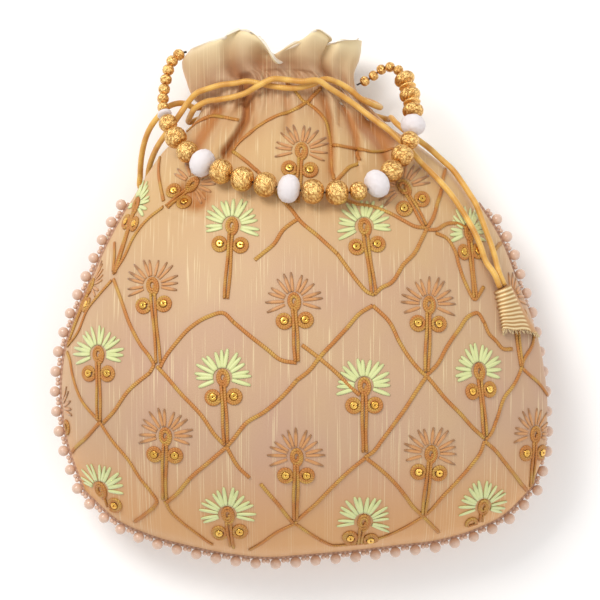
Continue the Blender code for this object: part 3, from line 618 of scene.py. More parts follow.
def panel(name, side, columns, rows, node, cut, cut_area):
    """One panel: silk outside, lining inside, closed round its edge. cut is its flat width and length,
    measured over the built cloth, and cut_area the pear-shaped cut's own area."""
    even = np.linspace(-1, 1, columns + 1)
    u = 0.75 * even + 0.25 * np.sin(even * math.pi / 2)
    share = np.linspace(0, 1, rows + 1)
    v = -1 + 2 * (share - 0.045 * np.sin(2 * math.pi * share))
    u, v = np.meshgrid(u, v)
    outer, _, _, out = cloth_frame(u, v, side)
    # Painted shade: amber by how deep the folds and creases are.
    painted_hollow_shade = fold_depth(FRONT_FOLDS if side > 0 else BACK_FOLDS, u, v) / 0.007
    if side > 0:
        creased = crease_depth(outer[..., 0], outer[..., 1]) / 0.0035
        painted_hollow_shade = np.clip(painted_hollow_shade * 0.8, 0, 0.7) + np.clip(creased, 0, 1)
    # Painted light: yellower towards the neck and on the frill.
    painted_neck_light = np.exp(-(((v - 0.30) / 0.25) ** 2)) * 0.85 + np.exp(-(((v + 0.5) / 0.35) ** 2)) * 0.4
    # Painted shade: warmer along the bottom and the side seams.
    painted_seam_shade = np.clip((v - 0.86) / 0.14, 0, 1) ** 1.5 * 0.8 + np.clip((np.abs(u) - 0.9) / 0.1, 0, 1) ** 2 * 0.3
    shades = np.stack([np.clip(painted_hollow_shade, 0, 1) ** 1.2 * 0.8, painted_neck_light, painted_seam_shade], axis=-1)
    # Painted light: the frill lighter, less so towards its left end.
    painted_frill_light = 0.85 - 0.5 * np.clip((-u - 0.6) / 0.4, 0, 1)
    painted_frill_light = painted_frill_light * np.clip((-v - 0.2) / 0.6, 0, 1)
    pad = ((0, 1), (1, 1), (0, 0))
    lip, outwards, shades = [np.pad(grid, pad, "edge") for grid in (outer, out, shades)]
    lip[:, 0, 2] -= side * SEAM_LIP
    lip[:, -1, 2] -= side * SEAM_LIP
    lip[-1, :, 2] -= side * SEAM_LIP
    inner = lip - outwards * CLOTH_THICKNESS
    seam = np.zeros(lip.shape[:2], bool)
    seam[:, 0] = seam[:, -1] = seam[-1, :] = True
    inner[seam] = lip[seam]
    inner[seam, 2] += side * 0.0004
    pull = np.array([0.0, 0.05, 0.027]) - lip[seam]
    pull[:, 2] = 0
    inner[seam] += CLOTH_THICKNESS * pull / np.linalg.norm(pull, axis=1)[:, None]
    height, width = lip.shape[:2]
    count = height * width
    points = np.concatenate([lip.reshape(-1, 3), inner.reshape(-1, 3)])
    r, c = np.meshgrid(np.arange(height - 1), np.arange(width - 1), indexing="ij")
    a = (r * width + c).reshape(-1)
    quads = np.stack([a, a + width, a + width + 1, a + 1], axis=1)
    rim = np.concatenate(
        [
            np.arange(width),
            np.arange(1, height) * width + width - 1,
            (height - 1) * width + np.arange(width - 2, -1, -1),
            np.arange(height - 2, 0, -1) * width,
        ]
    )
    after = np.roll(rim, -1)
    edge = np.stack([rim, after, after + count, rim + count], axis=1)
    faces = [quads, quads[:, ::-1] + count, edge]
    if side < 0:
        faces = [f[:, ::-1] for f in faces]
    faces = np.concatenate(faces)
    mesh = bpy.data.meshes.new(name)
    mesh.from_pydata(points.tolist(), [], faces.tolist())
    mesh.materials.append(silk)
    mesh.materials.append(lining)
    layer = np.zeros(len(faces), np.int32)
    layer[len(quads) : 2 * len(quads)] = 1
    mesh.polygons.foreach_set("material_index", layer)
    down = lip[..., 1] - 0.8 * np.abs(lip[..., 2] - SEAM_PLANE)
    woven = np.stack([lip[..., 0], down, np.zeros_like(down)], axis=-1)
    for label, values in (("weave", woven), ("shade", shades)):
        both = np.concatenate([values.reshape(-1, 3)] * 2).astype(np.float32)
        mesh.attributes.new(label, "FLOAT_VECTOR", "POINT").data.foreach_set("vector", both.reshape(-1))
    painted_frill_light = np.pad(painted_frill_light, ((0, 1), (1, 1)), "edge").reshape(-1)
    painted_frill_light = np.concatenate([painted_frill_light, painted_frill_light]).astype(np.float32)
    mesh.attributes.new("painted_frill_light", "FLOAT", "POINT").data.foreach_set("value", painted_frill_light)
    mesh.validate()
    mesh.shade_smooth()
    made = finished(name, mesh, None, replaces=[node])
    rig.sheet(made, flat=cut, held="gathered", area=cut_area)
    return made


panel("front_cloth", 1, 210, 200, "front_panel", (0.265, 0.288), 0.0525)
panel("back_cloth", -1, 130, 150, "back_panel", (0.240, 0.253), 0.0446)

# The couched lattice.
# A twisted rayon cord 1.7 mm thick, bronze with a gilt thread in it, is laid over the silk in
# diamonds and held down by small stitches. Here and there it has worn off the cloth.
# Its ways over the front, x and y in mm:
LATTICE = [
    [(-62.1, 86.9), (-69.3, 81.4), (-75.4, 73.7), (-79.7, 64.6), (-84.7, 56.9)],
    [(-85.3, 54.1), (-91.3, 47.5), (-96.3, 41.5), (-101.2, 30.5), (-106.7, 23.9)],
    [(-107.0, 23.6), (-104.5, 18.4), (-103.2, 12.5), (-98.4, 0.5), (-90.2, -8.4)],
    [(-84.7, 71.2), (-84.4, 65.4), (-84.7, 58.2)],
    [(-84.4, 54.7), (-80.9, 46.4), (-76.4, 34.9), (-71.5, 26.0), (-66.5, 19.5), (-65.4, 17.3), (-67.1,
     13.6)],
    [(-67.1, 13.6), (-76.4, 5.9), (-84.1, -4.5), (-88.4, -8.9)],
    [(-62.5, 15.9), (-60.4, 20.0), (-55.5, 26.6), (-49.4, 33.2), (-41.3, 38.2), (-34.7, 39.7), (-30.3,
     35.8)],
    [(-30.3, 35.8), (-23.1, 29.8), (-16.0, 24.3), (-9.4, 19.3), (-2.8, 18.2)],
    [(-63.9, 16.4), (-59.5, 11.8), (-54.4, 5.9), (-44.0, -5.1), (-37.9, -13.9), (-34.2, -17.7)],
    [(-20.9, 103.2), (-15.9, 97.7), (-10.5, 90.9), (-5.0, 84.9), (-1.6, 80.4), (6.6, 73.3), (14.9, 65.6)],
    [(14.9, 65.6), (19.3, 59.5), (24.2, 52.9), (28.6, 48.5), (30.9, 47.7)],
    [(-1.8, 81.4), (-8.8, 76.0), (-12.7, 70.0), (-17.7, 65.7), (-21.1, 62.9)],
    [(30.9, 47.7), (34.1, 50.7), (38.1, 52.7), (44.2, 61.2), (48.6, 65.6), (52.5, 72.7), (54.7, 77.1)],
    [(54.7, 77.1), (57.4, 81.5), (59.6, 88.2), (61.6, 94.1), (63.1, 101.1), (64.7, 105.5)],
    [(54.1, 77.3), (49.7, 77.7), (44.2, 80.4), (38.1, 83.7), (30.5, 86.5), (21.8, 88.2), (15.0, 92.7)],
    [(55.0, 76.4), (59.1, 76.6), (63.5, 79.1), (69.0, 79.3), (73.0, 76.6), (75.0, 72.7)],
    [(58.5, 75.0), (63.5, 72.7), (66.8, 67.8), (69.0, 60.0), (72.3, 51.3), (75.6, 45.7), (80.0, 51.3)],
    [(30.3, 43.0), (37.6, 35.8), (42.0, 27.0), (47.0, 19.3), (51.9, 13.8), (54.1, 12.0)],
    [(54.1, 12.0), (56.9, 8.7), (62.4, 2.1), (69.0, -4.5), (74.5, -10.6), (79.8, -15.4)],
    [(53.6, 12.3), (58.5, 17.1), (62.9, 24.8), (68.4, 32.5), (73.4, 38.6), (76.7, 39.7), (80.0, 35.3)],
    [(80.0, 35.3), (82.2, 30.3), (85.0, 27.6), (88.8, 23.7), (92.7, 23.7)],
    [(103.6, 32.0), (102.6, 25.9), (97.9, 18.2), (96.5, 13.8), (92.1, 6.1), (89.9, 3.7), (85.5, -7.3)],
    [(85.5, -7.3), (82.7, -13.9), (80.4, -16.4)],
    [(97.6, 15.0), (100.0, 12.7), (104.8, 8.7), (109.8, 2.6)],
    [(30.3, 43.0), (24.8, 39.7), (19.3, 33.6), (13.2, 27.0), (7.1, 20.5), (2.7, 14.9), (-2.8, 10.5)],
    [(-2.8, 10.5), (-8.1, 4.5), (-17.5, -3.6), (-24.1, -7.5), (-30.4, -15.1), (-33.2, -18.4)],
    [(-33.2, -18.4), (-40.6, -24.9), (-48.9, -32.1), (-57.2, -41.5), (-60.7, -44.3)],
    [(-0.5, 25.9), (6.6, 20.5), (13.8, 14.4), (20.0, 8.2), (24.5, 4.1)],
    [(27.0, -23.2), (30.2, -21.1), (34.8, -15.1), (40.4, -7.5), (44.1, -2.4), (49.2, 5.4), (53.6, 11.8)],
    [(27.3, -23.4), (20.0, -29.5), (12.8, -36.6), (5.6, -44.3), (-1.0, -50.4), (-3.7, -53.2)],
    [(27.3, -23.4), (34.8, -29.5), (39.9, -34.5), (44.7, -40.4), (48.6, -45.9), (53.4, -50.7)],
    [(53.4, -50.7), (56.9, -47.5), (61.3, -42.0), (67.9, -34.8), (74.5, -27.1), (78.4, -21.6), (80.0,
     -16.8)],
    [(80.0, -16.8), (84.4, -20.5), (89.9, -27.1), (94.4, -32.6), (99.3, -38.6), (103.2, -42.0), (107.5,
     -37.6)],
    [(107.5, -37.6), (109.2, -33.7)],
    [(53.4, -50.7), (45.3, -55.9), (37.8, -59.6), (28.2, -62.9), (20.0, -64.8), (12.8, -64.2), (7.3,
     -61.4)],
    [(7.3, -61.4), (1.8, -57.5), (-3.5, -53.4)],
    [(53.4, -50.7), (59.1, -56.8), (62.9, -60.9), (65.4, -62.3)],
    [(-3.5, -53.4), (-11.4, -57.5), (-18.6, -63.0), (-25.7, -67.3), (-30.1, -68.8)],
    [(-33.4, -18.4), (-28.0, -27.8), (-23.5, -32.2)],
    [(-18.6, -35.0), (-14.7, -39.9), (-11.4, -43.8), (-8.7, -47.6), (-4.5, -53.2)],
    [(-90.2, -8.4), (-84.1, -17.2), (-77.5, -24.9), (-71.5, -34.3), (-67.6, -39.2), (-64.9, -44.2),
     (-66.5, -46.9)],
    [(-66.5, -46.9), (-73.2, -52.4), (-78.2, -55.9)],
    [(-61.0, -43.6), (-59.4, -47.5), (-54.4, -53.0), (-47.8, -58.5), (-40.6, -64.1), (-35.6, -66.9)],
    [(-90.2, -8.9), (-96.8, -16.1), (-102.9, -21.6), (-106.1, -26.6)],
    [(1.4, 134.2), (-3.6, 130.9), (-12.4, 127.5), (-19.0, 123.7), (-24.5, 119.3), (-28.9, 114.9),
     (-31.2, 111.6)],
    [(-31.2, 111.6), (-25.6, 107.2), (-20.1, 102.3)],
    [(1.4, 134.2), (5.8, 130.9), (9.6, 126.4), (11.4, 120.4), (12.4, 114.9), (12.7, 106.6), (13.5, 98.4)],
    [(-7.3, 143.4), (-3.2, 138.6), (1.4, 134.2), (4.8, 137.7), (8.2, 141.3)],
    [(13.5, 114.4), (20.7, 113.2), (25.1, 112.7), (29.5, 111.6), (36.1, 112.1), (40.5, 113.2)],
    [(24.0, 111.8), (24.5, 106.1), (20.7, 104.4), (17.4, 101.1), (14.0, 97.3)],
    [(-52.6, 121.5), (-47.6, 125.9), (-41.0, 128.6), (-35.5, 127.5), (-28.9, 125.9)],
    [(-64.7, 111.0), (-65.0, 103.9), (-63.6, 95.6), (-62.1, 89.5)],
    [(85.5, 67.3), (89.9, 71.1), (92.0, 70.0)],
]
# The back repeats one diamond of this size, from this height on.
DIAMOND = (57.0, 63.0)
DIAMOND_FROM = 8.0
COUCHED_HALF_WIDTH = 0.00085
COUCHED_HALF_HEIGHT = 0.00042


def swept(cords, sides=8):
    """One mesh of many cords. A cord is its points, the outward directions there, half its width and
    half its height at each point, and a number of its own, kept with how far along each point lies."""
    points, faces, runs, turns, own = [], [], [], [], []
    start = 0
    turn = np.arange(sides) * 2 * math.pi / sides
    for line, out, half_width, half_height, number in cords:
        line, out = np.asarray(line, float), np.asarray(out, float)
        run = np.gradient(line, axis=0)
        run /= np.maximum(np.linalg.norm(run, axis=1, keepdims=True), 1e-12)
        over = np.cross(run, out)
        over /= np.maximum(np.linalg.norm(over, axis=1, keepdims=True), 1e-12)
        up = np.cross(over, run)
        count = len(line)
        wide = np.broadcast_to(half_width, count)[:, None, None]
        high = np.broadcast_to(half_height, count)[:, None, None]
        ring = over[:, None] * wide * np.cos(turn)[:, None] + up[:, None] * high * np.sin(turn)[:, None]
        points.append((line[:, None] + ring).reshape(-1, 3))
        along = np.concatenate([[0.0], np.cumsum(np.linalg.norm(np.diff(line, axis=0), axis=1))])
        runs.append(np.repeat(along, sides))
        turns.append(np.tile(np.arange(sides) / sides, count))
        own.append(np.full(count * sides, number))
        r, s = np.meshgrid(np.arange(count - 1), np.arange(sides), indexing="ij")
        a = (start + r * sides + s).reshape(-1)
        b = (start + r * sides + (s + 1) % sides).reshape(-1)
        faces += np.stack([a, b, b + sides, a + sides], axis=1).tolist()
        faces.append([start + k for k in reversed(range(sides))])
        faces.append([start + (count - 1) * sides + k for k in range(sides)])
        start += count * sides
    mesh = bpy.data.meshes.new("cords")
    points = np.concatenate(points)
    points[:, 2] = np.maximum(points[:, 2], 0.0)
    mesh.from_pydata(points.tolist(), [], faces)
    for name, values in (("along", runs), ("around", turns), ("own", own)):
        values = np.concatenate(values).astype(np.float32)
        mesh.attributes.new(name, "FLOAT", "POINT").data.foreach_set("value", values)
    mesh.shade_smooth()
    return mesh


def twisted(name, turns, starts, patches, spread, tones, relief, **sockets):
    """A twisted yarn: its turns a metre and its strands, the patches a metre in which it changes between
    two tones, and the relief of its strands. Returns the material, its tree, shader, strands and tone."""
    made, tree, shader = new_material(name, **sockets)
    along, around, own = [
        add_node(tree, "Attribute", attribute_name=label).outputs["Fac"]
        for label in ("along", "around", "own")
    ]
    turn = add_node(tree, "Math", {0: along, 1: turns, 2: around}, operation="MULTIPLY_ADD")
    angle = add_node(tree, "Math", {0: turn.outputs[0], 1: 2 * math.pi * starts}, operation="MULTIPLY")
    strand = add_node(tree, "Math", {0: angle.outputs[0]}, operation="SINE")
    where = add_node(tree, "Math", {0: along, 1: patches, 2: own}, operation="MULTIPLY_ADD")
    patch = add_node(
        tree, "TexNoise", {"W": where.outputs[0], "Scale": 1.0, "Detail": 2.0}, noise_dimensions="1D"
    )
    level = add_node(
        tree, "MapRange", {"Value": patch.outputs["Fac"], "From Min": spread[0], "From Max": spread[1]}
    )
    tone = add_node(
        tree,
        "Mix",
        {"Factor": level.outputs[0], "A": hex_colour(tones[0]), "B": hex_colour(tones[1])},
        data_type="RGBA",
    )
    tree.links.new(tone.outputs["Result"], shader.inputs["Base Color"])
    height = {"Height": strand.outputs[0], "Strength": relief, "Distance": 0.0002}
    tree.links.new(add_node(tree, "Bump", height).outputs[0], shader.inputs["Normal"])
    return made, tree, shader, strand, tone


# Rayon couching cord: its two strands, a turn each 2.2 mm, are painted with shade in the grooves between them, and
# gilt shows in patches.
couching, tree, shader, strand, tone = twisted(
    "rayon_couching_cord",
    turns=455.0,
    starts=2,
    patches=75.0,
    spread=(0.42, 0.66),
    tones=("c07c38", "c89e48"),
    relief=0.5,
    Roughness=0.48,
    Metallic=0.1,
)
# Painted shade: darker in the grooves between the twisted strands.
lit = add_node(
    tree, "MapRange", {"Value": strand.outputs[0], "From Min": -0.9, "From Max": 1.0, "To Min": 0.45}
)
painted_groove_shade = add_node(
    tree,
    "Mix",
    {"Factor": lit.outputs[0], "A": hex_colour("a06224"), "B": tone.outputs["Result"]},
    data_type="RGBA",
)
tree.links.new(painted_groove_shade.outputs["Result"], shader.inputs["Base Color"])


def thick_line(way, step):
    """Points a step apart, in mm, on a smooth curve through the given ones."""
    way = np.array(way, float)
    chord = np.concatenate([[0.0], np.cumsum(np.hypot(*np.diff(way, axis=0).T))])
    fine = np.linspace(0, chord[-1], max(4, int(chord[-1] / step)))
    return [smooth(list(zip(chord, way[:, k])), fine) for k in (0, 1)]


def laid_on_cloth(ways, side, lift):
    """Lines over the cloth along ways of x and y in mm: the points and the cloth's normals, cut to
    where the panel is."""
    x = np.concatenate([way[0] for way in ways]) / 1000
    y = np.concatenate([way[1] for way in ways]) / 1000
    u, v, good = place_on_cloth(x, y, side)
    here, _, _, out = cloth_frame(u, v, side)
    good = good & (v < 0.99) & (np.abs(u) < 0.99)
    here = here + out * lift
    ends = np.cumsum([len(way[0]) for way in ways])[:-1]
    return list(zip(np.split(here, ends), np.split(out, ends), np.split(good, ends)))


def couched(name, ways, side):
    cords = []
    for number, (line, out, good) in enumerate(laid_on_cloth(ways, side, 0.00035)):
        if good.sum() > 3:
            half_width, half_height = COUCHED_HALF_WIDTH, COUCHED_HALF_HEIGHT
            cords.append((line[good], out[good], half_width, half_height, number * 3.7))
    return finished(name, swept(cords), couching)


couched("front_lattice", [thick_line(way, 0.9) for way in LATTICE], 1)
feet = []
for row in range(-1, 4):
    for column in range(-2, 3):
        x = column * DIAMOND[0] + (DIAMOND[0] / 2 if row % 2 else 0)
        feet.append((row, x, DIAMOND_FROM + row * DIAMOND[1] / 2))
back_ways = []
for _, x, y in feet:
    for s in (-1, 1):
        middle = (x + s * DIAMOND[0] / 4, y + DIAMOND[1] / 4 + 0.6)
        back_ways.append(thick_line([(x, y), middle, (x + s * DIAMOND[0] / 2, y + DIAMOND[1] / 2)], 1.2))
couched("back_lattice", back_ways, -1)

# The sprigs.
# One flowering sprig stands in each diamond: a stem of two couched cords, two coils round gilt
# sequins, an oval coil over them, and a fan of satin stitches, mint and bronze in turn by rows.
# Each: its colour, the stem's foot, the oval coil's middle, and how wide it looks.
SPRIGS = [
    ("bronze", -2.7, 87.7, -0.9, 111.8, 1.0),
    ("bronze", 54.1, 77.7, 44.5, 95.4, 1.0),
    ("bronze", -60.9, 86.4, -49.1, 97.3, 0.8),
    ("bronze", -63.2, 17.3, -66.4, 51.8, 1.0),
    ("bronze", -2.7, 18.2, -4.1, 45.0, 1.0),
    ("bronze", 53.9, 13.6, 55.0, 43.6, 1.0),
    ("bronze", 97.1, 15.5, 93.2, 46.4, 0.72),
    ("bronze", -106.4, 25.0, -95.4, 51.8, 0.35),
    ("mint", -84.1, 56.8, -75.0, 88.2, 0.45),
    ("mint", -33.6, 45.5, -31.4, 78.2, 1.0),
    ("mint", 30.9, 47.7, 26.8, 77.7, 1.0),
    ("mint", -90.2, -8.6, -90.7, 21.4, 0.95),
    ("mint", -33.6, -17.3, -35.0, 11.8, 1.0),
    ("mint", 26.8, -21.4, 26.4, 8.2, 1.0),
    ("mint", 80.4, -15.0, 77.3, 14.1, 0.85),
    ("bronze", -107.7, -31.8, -109.5, -3.6, 0.5),
    ("bronze", -61.4, -43.2, -60.4, -13.9, 1.0),
    ("bronze", -3.4, -52.3, -3.0, -22.7, 1.0),
    ("bronze", 53.6, -50.0, 55.9, -21.8, 1.0),
    ("bronze", 102.9, -40.5, 103.6, -14.5, 0.85),
    ("mint", -83.2, -67.3, -90.9, -39.5, 0.95),
    ("mint", -31.4, -70.9, -33.4, -49.1, 1.0),
    ("mint", 24.5, -69.1, 26.8, -52.7, 1.0),
    ("mint", 79.1, -68.6, 80.4, -46.8, 0.9),
    ("bronze", -59.5, -98.2, -59.5, -73.2, 1.0),
    ("bronze", -3.2, -102.7, -4.1, -77.7, 1.0),
    ("mint", 75.9, 45.9, 73.6, 75.4, 0.7),
]
SPRIG_HEIGHT = 29.0
SPRIG_CORD_HALF_WIDTH = 0.00070
SPRIG_CORD_HALF_HEIGHT = 0.00055
# Half the width of a satin stitch, and how many make a fan:
STITCHES = {"mint": (0.00100, 15), "bronze": (0.00080, 13)}


def sprig_ways(x, y, top_x, top_y, wide):
    """The ways of one sprig's cords, stitches and sequins, as x and y in mm, with their kinds."""
    tall = math.hypot(top_x - x, top_y - y)
    up = ((top_x - x) / tall, (top_y - y) / tall)
    over = (up[1] * wide, -up[0] * wide)

    def at(a, b):
        b = b + tall
        return x + over[0] * a + up[0] * b, y + over[1] * a + up[1] * b

    ways = []
    t = np.linspace(0, 1, 16)
    for s in (-1, 1):
        lean = 0.35 * np.sin(t * 7 + x + s)
        ways.append(("cord", *at(s * 0.80 + lean * 0.5, (t - 1) * (tall - 0.5) - 3.4 * t)))
        turn = np.linspace(0.4, 3.9 * math.pi, 40)
        r = 3.35 - 1.35 * turn / turn[-1]
        ways.append(("cord", *at(s * (4.6 - r * np.cos(turn)), -8.4 - r * np.sin(turn))))
        turn = np.linspace(0, 2 * math.pi, 13)
        ways.append(("sequin", *at(s * 4.6 + 0.95 * np.cos(turn), -8.4 + 0.95 * np.sin(turn))))
    turn = np.linspace(0, 4.6 * math.pi, 48)
    r = 1 - 0.68 * turn / turn[-1]
    ways.append(("cord", *at(2.7 * r * np.sin(turn), -0.3 - 4.0 * r * np.cos(turn))))
    return ways, at


def embroider(label, sprigs, side):
    """All the sprigs of one panel, as four pieces."""
    ways, kinds = [], []
    for number, (colour, x, y, top_x, top_y, wide) in enumerate(sprigs):
        parts, at = sprig_ways(x, y, top_x, top_y, wide)
        for kind, a, b in parts:
            ways.append((a, b))
            kinds.append(kind)
        stitches = STITCHES[colour][1]
        for k in range(stitches):
            tilt = math.radians(-108 + 216 * k / (stitches - 1) + 3.0 * math.sin(k * 2.3 + number))
            reach = 12.0 + 0.7 * math.sin(k * 5.1 + number * 2)
            r = np.linspace(4.2, reach, 9)
            ways.append(at(r * math.sin(tilt), r * math.cos(tilt)))
            kinds.append(colour)
    made = {"cord": [], "mint": [], "bronze": [], "sequin": []}
    lifts = {"cord": 0.0004, "mint": 0.00025, "bronze": 0.0002, "sequin": 0.0009}
    for number, (line, out, good) in enumerate(laid_on_cloth(ways, side, 0.0)):
        kind = kinds[number]
        if good.sum() < 4 or kind == "sequin" and not good.all():
            continue
        line, out = line[good] + out[good] * lifts[kind], out[good]
        if kind == "cord":
            half, high = SPRIG_CORD_HALF_WIDTH, SPRIG_CORD_HALF_HEIGHT
        elif kind == "sequin":
            half, high = 0.00085, 0.00030
        else:
            t = np.linspace(0, 1, len(line))
            swell = np.sin(math.pi * np.clip(t * 0.9 + 0.1, 0, 1)) ** 0.6
            half = STITCHES[kind][0] * (0.45 + 0.55 * swell)
            high = 0.00035
        made[kind].append((line, out, half, high, number * 1.3))
    finished(label + "_sprig_cords", swept(made["cord"]), couching)
    finished(label + "_mint_fans", swept(made["mint"], 6), mint_floss)
    finished(label + "_bronze_fans", swept(made["bronze"], 6), bronze_floss)
    finished(label + "_sequins", swept(made["sequin"], 6), sequin_foil)


# Rayon floss, laid in satin stitch: glossy, with fine lines along each stitch.
floss = {}
for name, dark, light, tip in (
    ("mint_rayon_floss", "bfc684", "dbe0a2", "c4cb8c"),
    ("bronze_rayon_floss", "b97e46", "cb945c", "98693c"),
):
    floss[name], tree, shader = new_material(name, Roughness=0.42, Sheen_Weight=0.3)
    along = add_node(tree, "Attribute", attribute_name="along")
    around = add_node(tree, "Attribute", attribute_name="around")
    own = add_node(tree, "Attribute", attribute_name="own")
    fibre = add_node(
        tree, "Math", {0: around.outputs["Fac"], 1: 9.0, 2: own.outputs["Fac"]}, operation="MULTIPLY_ADD"
    )
    lines = add_node(
        tree, "TexNoise", {"W": fibre.outputs[0], "Scale": 1.0, "Detail": 1.0}, noise_dimensions="1D"
    )
    silky = add_node(
        tree,
        "Mix",
        {"Factor": lines.outputs["Fac"], "A": hex_colour(dark), "B": hex_colour(light)},
        data_type="RGBA",
    )
    end = add_node(
        tree, "MapRange", {"Value": along.outputs["Fac"], "From Min": 0.0052, "From Max": 0.0070}
    )
    tipped = add_node(
        tree,
        "Mix",
        {"Factor": end.outputs[0], "A": silky.outputs["Result"], "B": hex_colour(tip)},
        data_type="RGBA",
    )
    tree.links.new(tipped.outputs["Result"], shader.inputs["Base Color"])
    bump = add_node(tree, "Bump", {"Height": lines.outputs["Fac"], "Strength": 0.5, "Distance": 0.0002})
    tree.links.new(bump.outputs[0], shader.inputs["Normal"])
mint_floss, bronze_floss = floss["mint_rayon_floss"], floss["bronze_rayon_floss"]

# Gilt sequin foil: thin, cupped, bright metal.
sequin_foil, tree, shader = new_material("gilt_sequin_foil", Roughness=0.25, Metallic=1.0)
own = add_node(tree, "Attribute", attribute_name="own")
facets = add_node(tree, "TexNoise", {"W": own.outputs["Fac"], "Scale": 3.0}, noise_dimensions="1D")
foil = add_node(
    tree,
    "Mix",
    {"Factor": facets.outputs["Fac"], "A": hex_colour("d08a22"), "B": hex_colour("ffd977")},
    data_type="RGBA",
)
tree.links.new(foil.outputs["Result"], shader.inputs["Base Color"])

embroider("front", SPRIGS, 1)
back_sprigs = []
for row, x, y in feet:
    if abs(x) < 88 and -52 < y < 92:
        back_sprigs.append(("bronze" if row % 2 else "mint", x, y, x, y + SPRIG_HEIGHT, 1.0))
embroider("back", back_sprigs, -1)

# The pearls on the seam.
# Imitation pearls of 5 mm, with small ones between them, are strung on a thread and sewn along a
# narrow piping of the same silk that closes the side seams and the bottom seam.
PEARL_DIAMETER = 0.0050
SMALL_PEARL_DIAMETER = 0.00208
SMALL_PEARL_INSET = -0.0012
PEARL_PITCH = 0.0091
PEARLS_FROM = 0.34
PEARL_STANDOFF = 0.0007
PIPING_RADIUS = 0.0009
PIPING_STANDOFF = 0.0003


def seam_line(offset):
    """The seam, from its left end round the bottom to its right end, moved outwards: its points, how
    far along each lies, and the outward directions."""
    sides, bottom = np.linspace(PEARLS_FROM, 1, 300), np.linspace(-1, 1, 600)
    left = cloth(np.full(300, -1.0), sides, 1)
    foot = cloth(bottom, np.ones(600), 1)
    right = cloth(np.ones(300), sides[::-1], 1)
    seam = np.concatenate([left[:-1], foot, right[1:]])
    seam[:, 2] -= SEAM_GAP / 2 + SEAM_LIP
    run = np.gradient(seam, axis=0)
    out = np.stack([run[:, 1], -run[:, 0], np.zeros(len(seam))], axis=1)
    out /= np.linalg.norm(out, axis=1)[:, None]
    line = seam + out * offset
    length = np.concatenate([[0.0], np.cumsum(np.linalg.norm(np.diff(line, axis=0), axis=1))])
    return line, length, out


# Pearl lacquer over glass: pinkish cream, with a clear gloss and a slow drift of colour.
pearl_lacquer, _, _ = grained(
    "pearl_lacquer", 210.0, 1.0, "c8a188", "e4c8b4", Roughness=0.32, Coat_Weight=0.6, Coat_Roughness=0.15
)

line, length, out = seam_line(PEARL_DIAMETER / 2 + PEARL_STANDOFF)
pearls = bmesh.new()
at = PEARL_DIAMETER / 2
number = 0
while at < length[-1] - PEARL_DIAMETER / 2:
    for where, radius, drop in (
        (at, PEARL_DIAMETER / 2 * (1 + 0.03 * math.sin(number * 1.7)), 0.0),
        (at + PEARL_PITCH * 0.40, SMALL_PEARL_DIAMETER / 2, SMALL_PEARL_INSET),
        (at + PEARL_PITCH * 0.60, SMALL_PEARL_DIAMETER / 2, SMALL_PEARL_INSET),
    ):
        if where > length[-1]:
            continue
        place = Vector([float(np.interp(where, length, line[:, k])) for k in range(3)])
        place += Vector([float(np.interp(where, length, out[:, k])) for k in range(3)]) * drop
        bmesh.ops.create_uvsphere(
            pearls, u_segments=18, v_segments=12, radius=radius, matrix=Matrix.Translation(place)
        )
    at += PEARL_PITCH
    number += 1
mesh = bpy.data.meshes.new("pearls")
pearls.to_mesh(mesh)
pearls.free()
mesh.shade_smooth()
finished("pearls", mesh, pearl_lacquer, slot="pearl", replaces=["pearl_trim"])

# Silk piping: the same silk folded over a cord, banded lighter and darker along its stitches, in step with their
# relief.
piping, tree, shader = new_material("silk_piping", Roughness=0.5, Sheen_Weight=0.3)
along = add_node(tree, "Attribute", attribute_name="along")
stitches = add_node(tree, "Math", {0: along.outputs["Fac"], 1: 2900.0}, operation="MULTIPLY")
pulled = add_node(tree, "Math", {0: stitches.outputs[0]}, operation="SINE")
level = add_node(tree, "MapRange", {"Value": pulled.outputs[0], "From Min": -1.0, "From Max": 1.0})
banded = add_node(
    tree,
    "Mix",
    {"Factor": level.outputs[0], "A": hex_colour("a87c62"), "B": hex_colour("c29a80")},
    data_type="RGBA",
)
tree.links.new(banded.outputs["Result"], shader.inputs["Base Color"])
bump = add_node(tree, "Bump", {"Height": pulled.outputs[0], "Strength": 0.4, "Distance": 0.0002})
tree.links.new(bump.outputs[0], shader.inputs["Normal"])
line = seam_line(PIPING_STANDOFF)[0][::3]
upright = np.tile([0, 0, 1.0], (len(line), 1))
finished("seam_piping", swept([(line, upright, PIPING_RADIUS, PIPING_RADIUS, 0.0)]), piping)

# The tassels.
# Gold brocade ribbon is wound round a cone of stiff cloth and sewn to it, one side is left plain,
# and the slanted hem is left to fray. Both ends of a drawcord are sewn in at its top.
TASSELS = {
    "tassel_right": ((88.7, 50.9, 53.1), (-0.5990, -0.3029, 0.7412), (0.7096, 0.2282, 0.6667)),
    "tassel_left": ((-72.6, 86.1, 4.1), (-0.8924, 0.4512, 0.0), (0.0, 0.0, 1.0)),
}
TASSEL_LENGTH = 0.0215
TASSEL_TOP = 0.0082
TASSEL_HEM = 0.0225
TASSEL_THICKNESS = 0.0070
HEM_SLANT = 0.0050
TASSEL_RIBS = 11
FRAYED_THREADS = 90

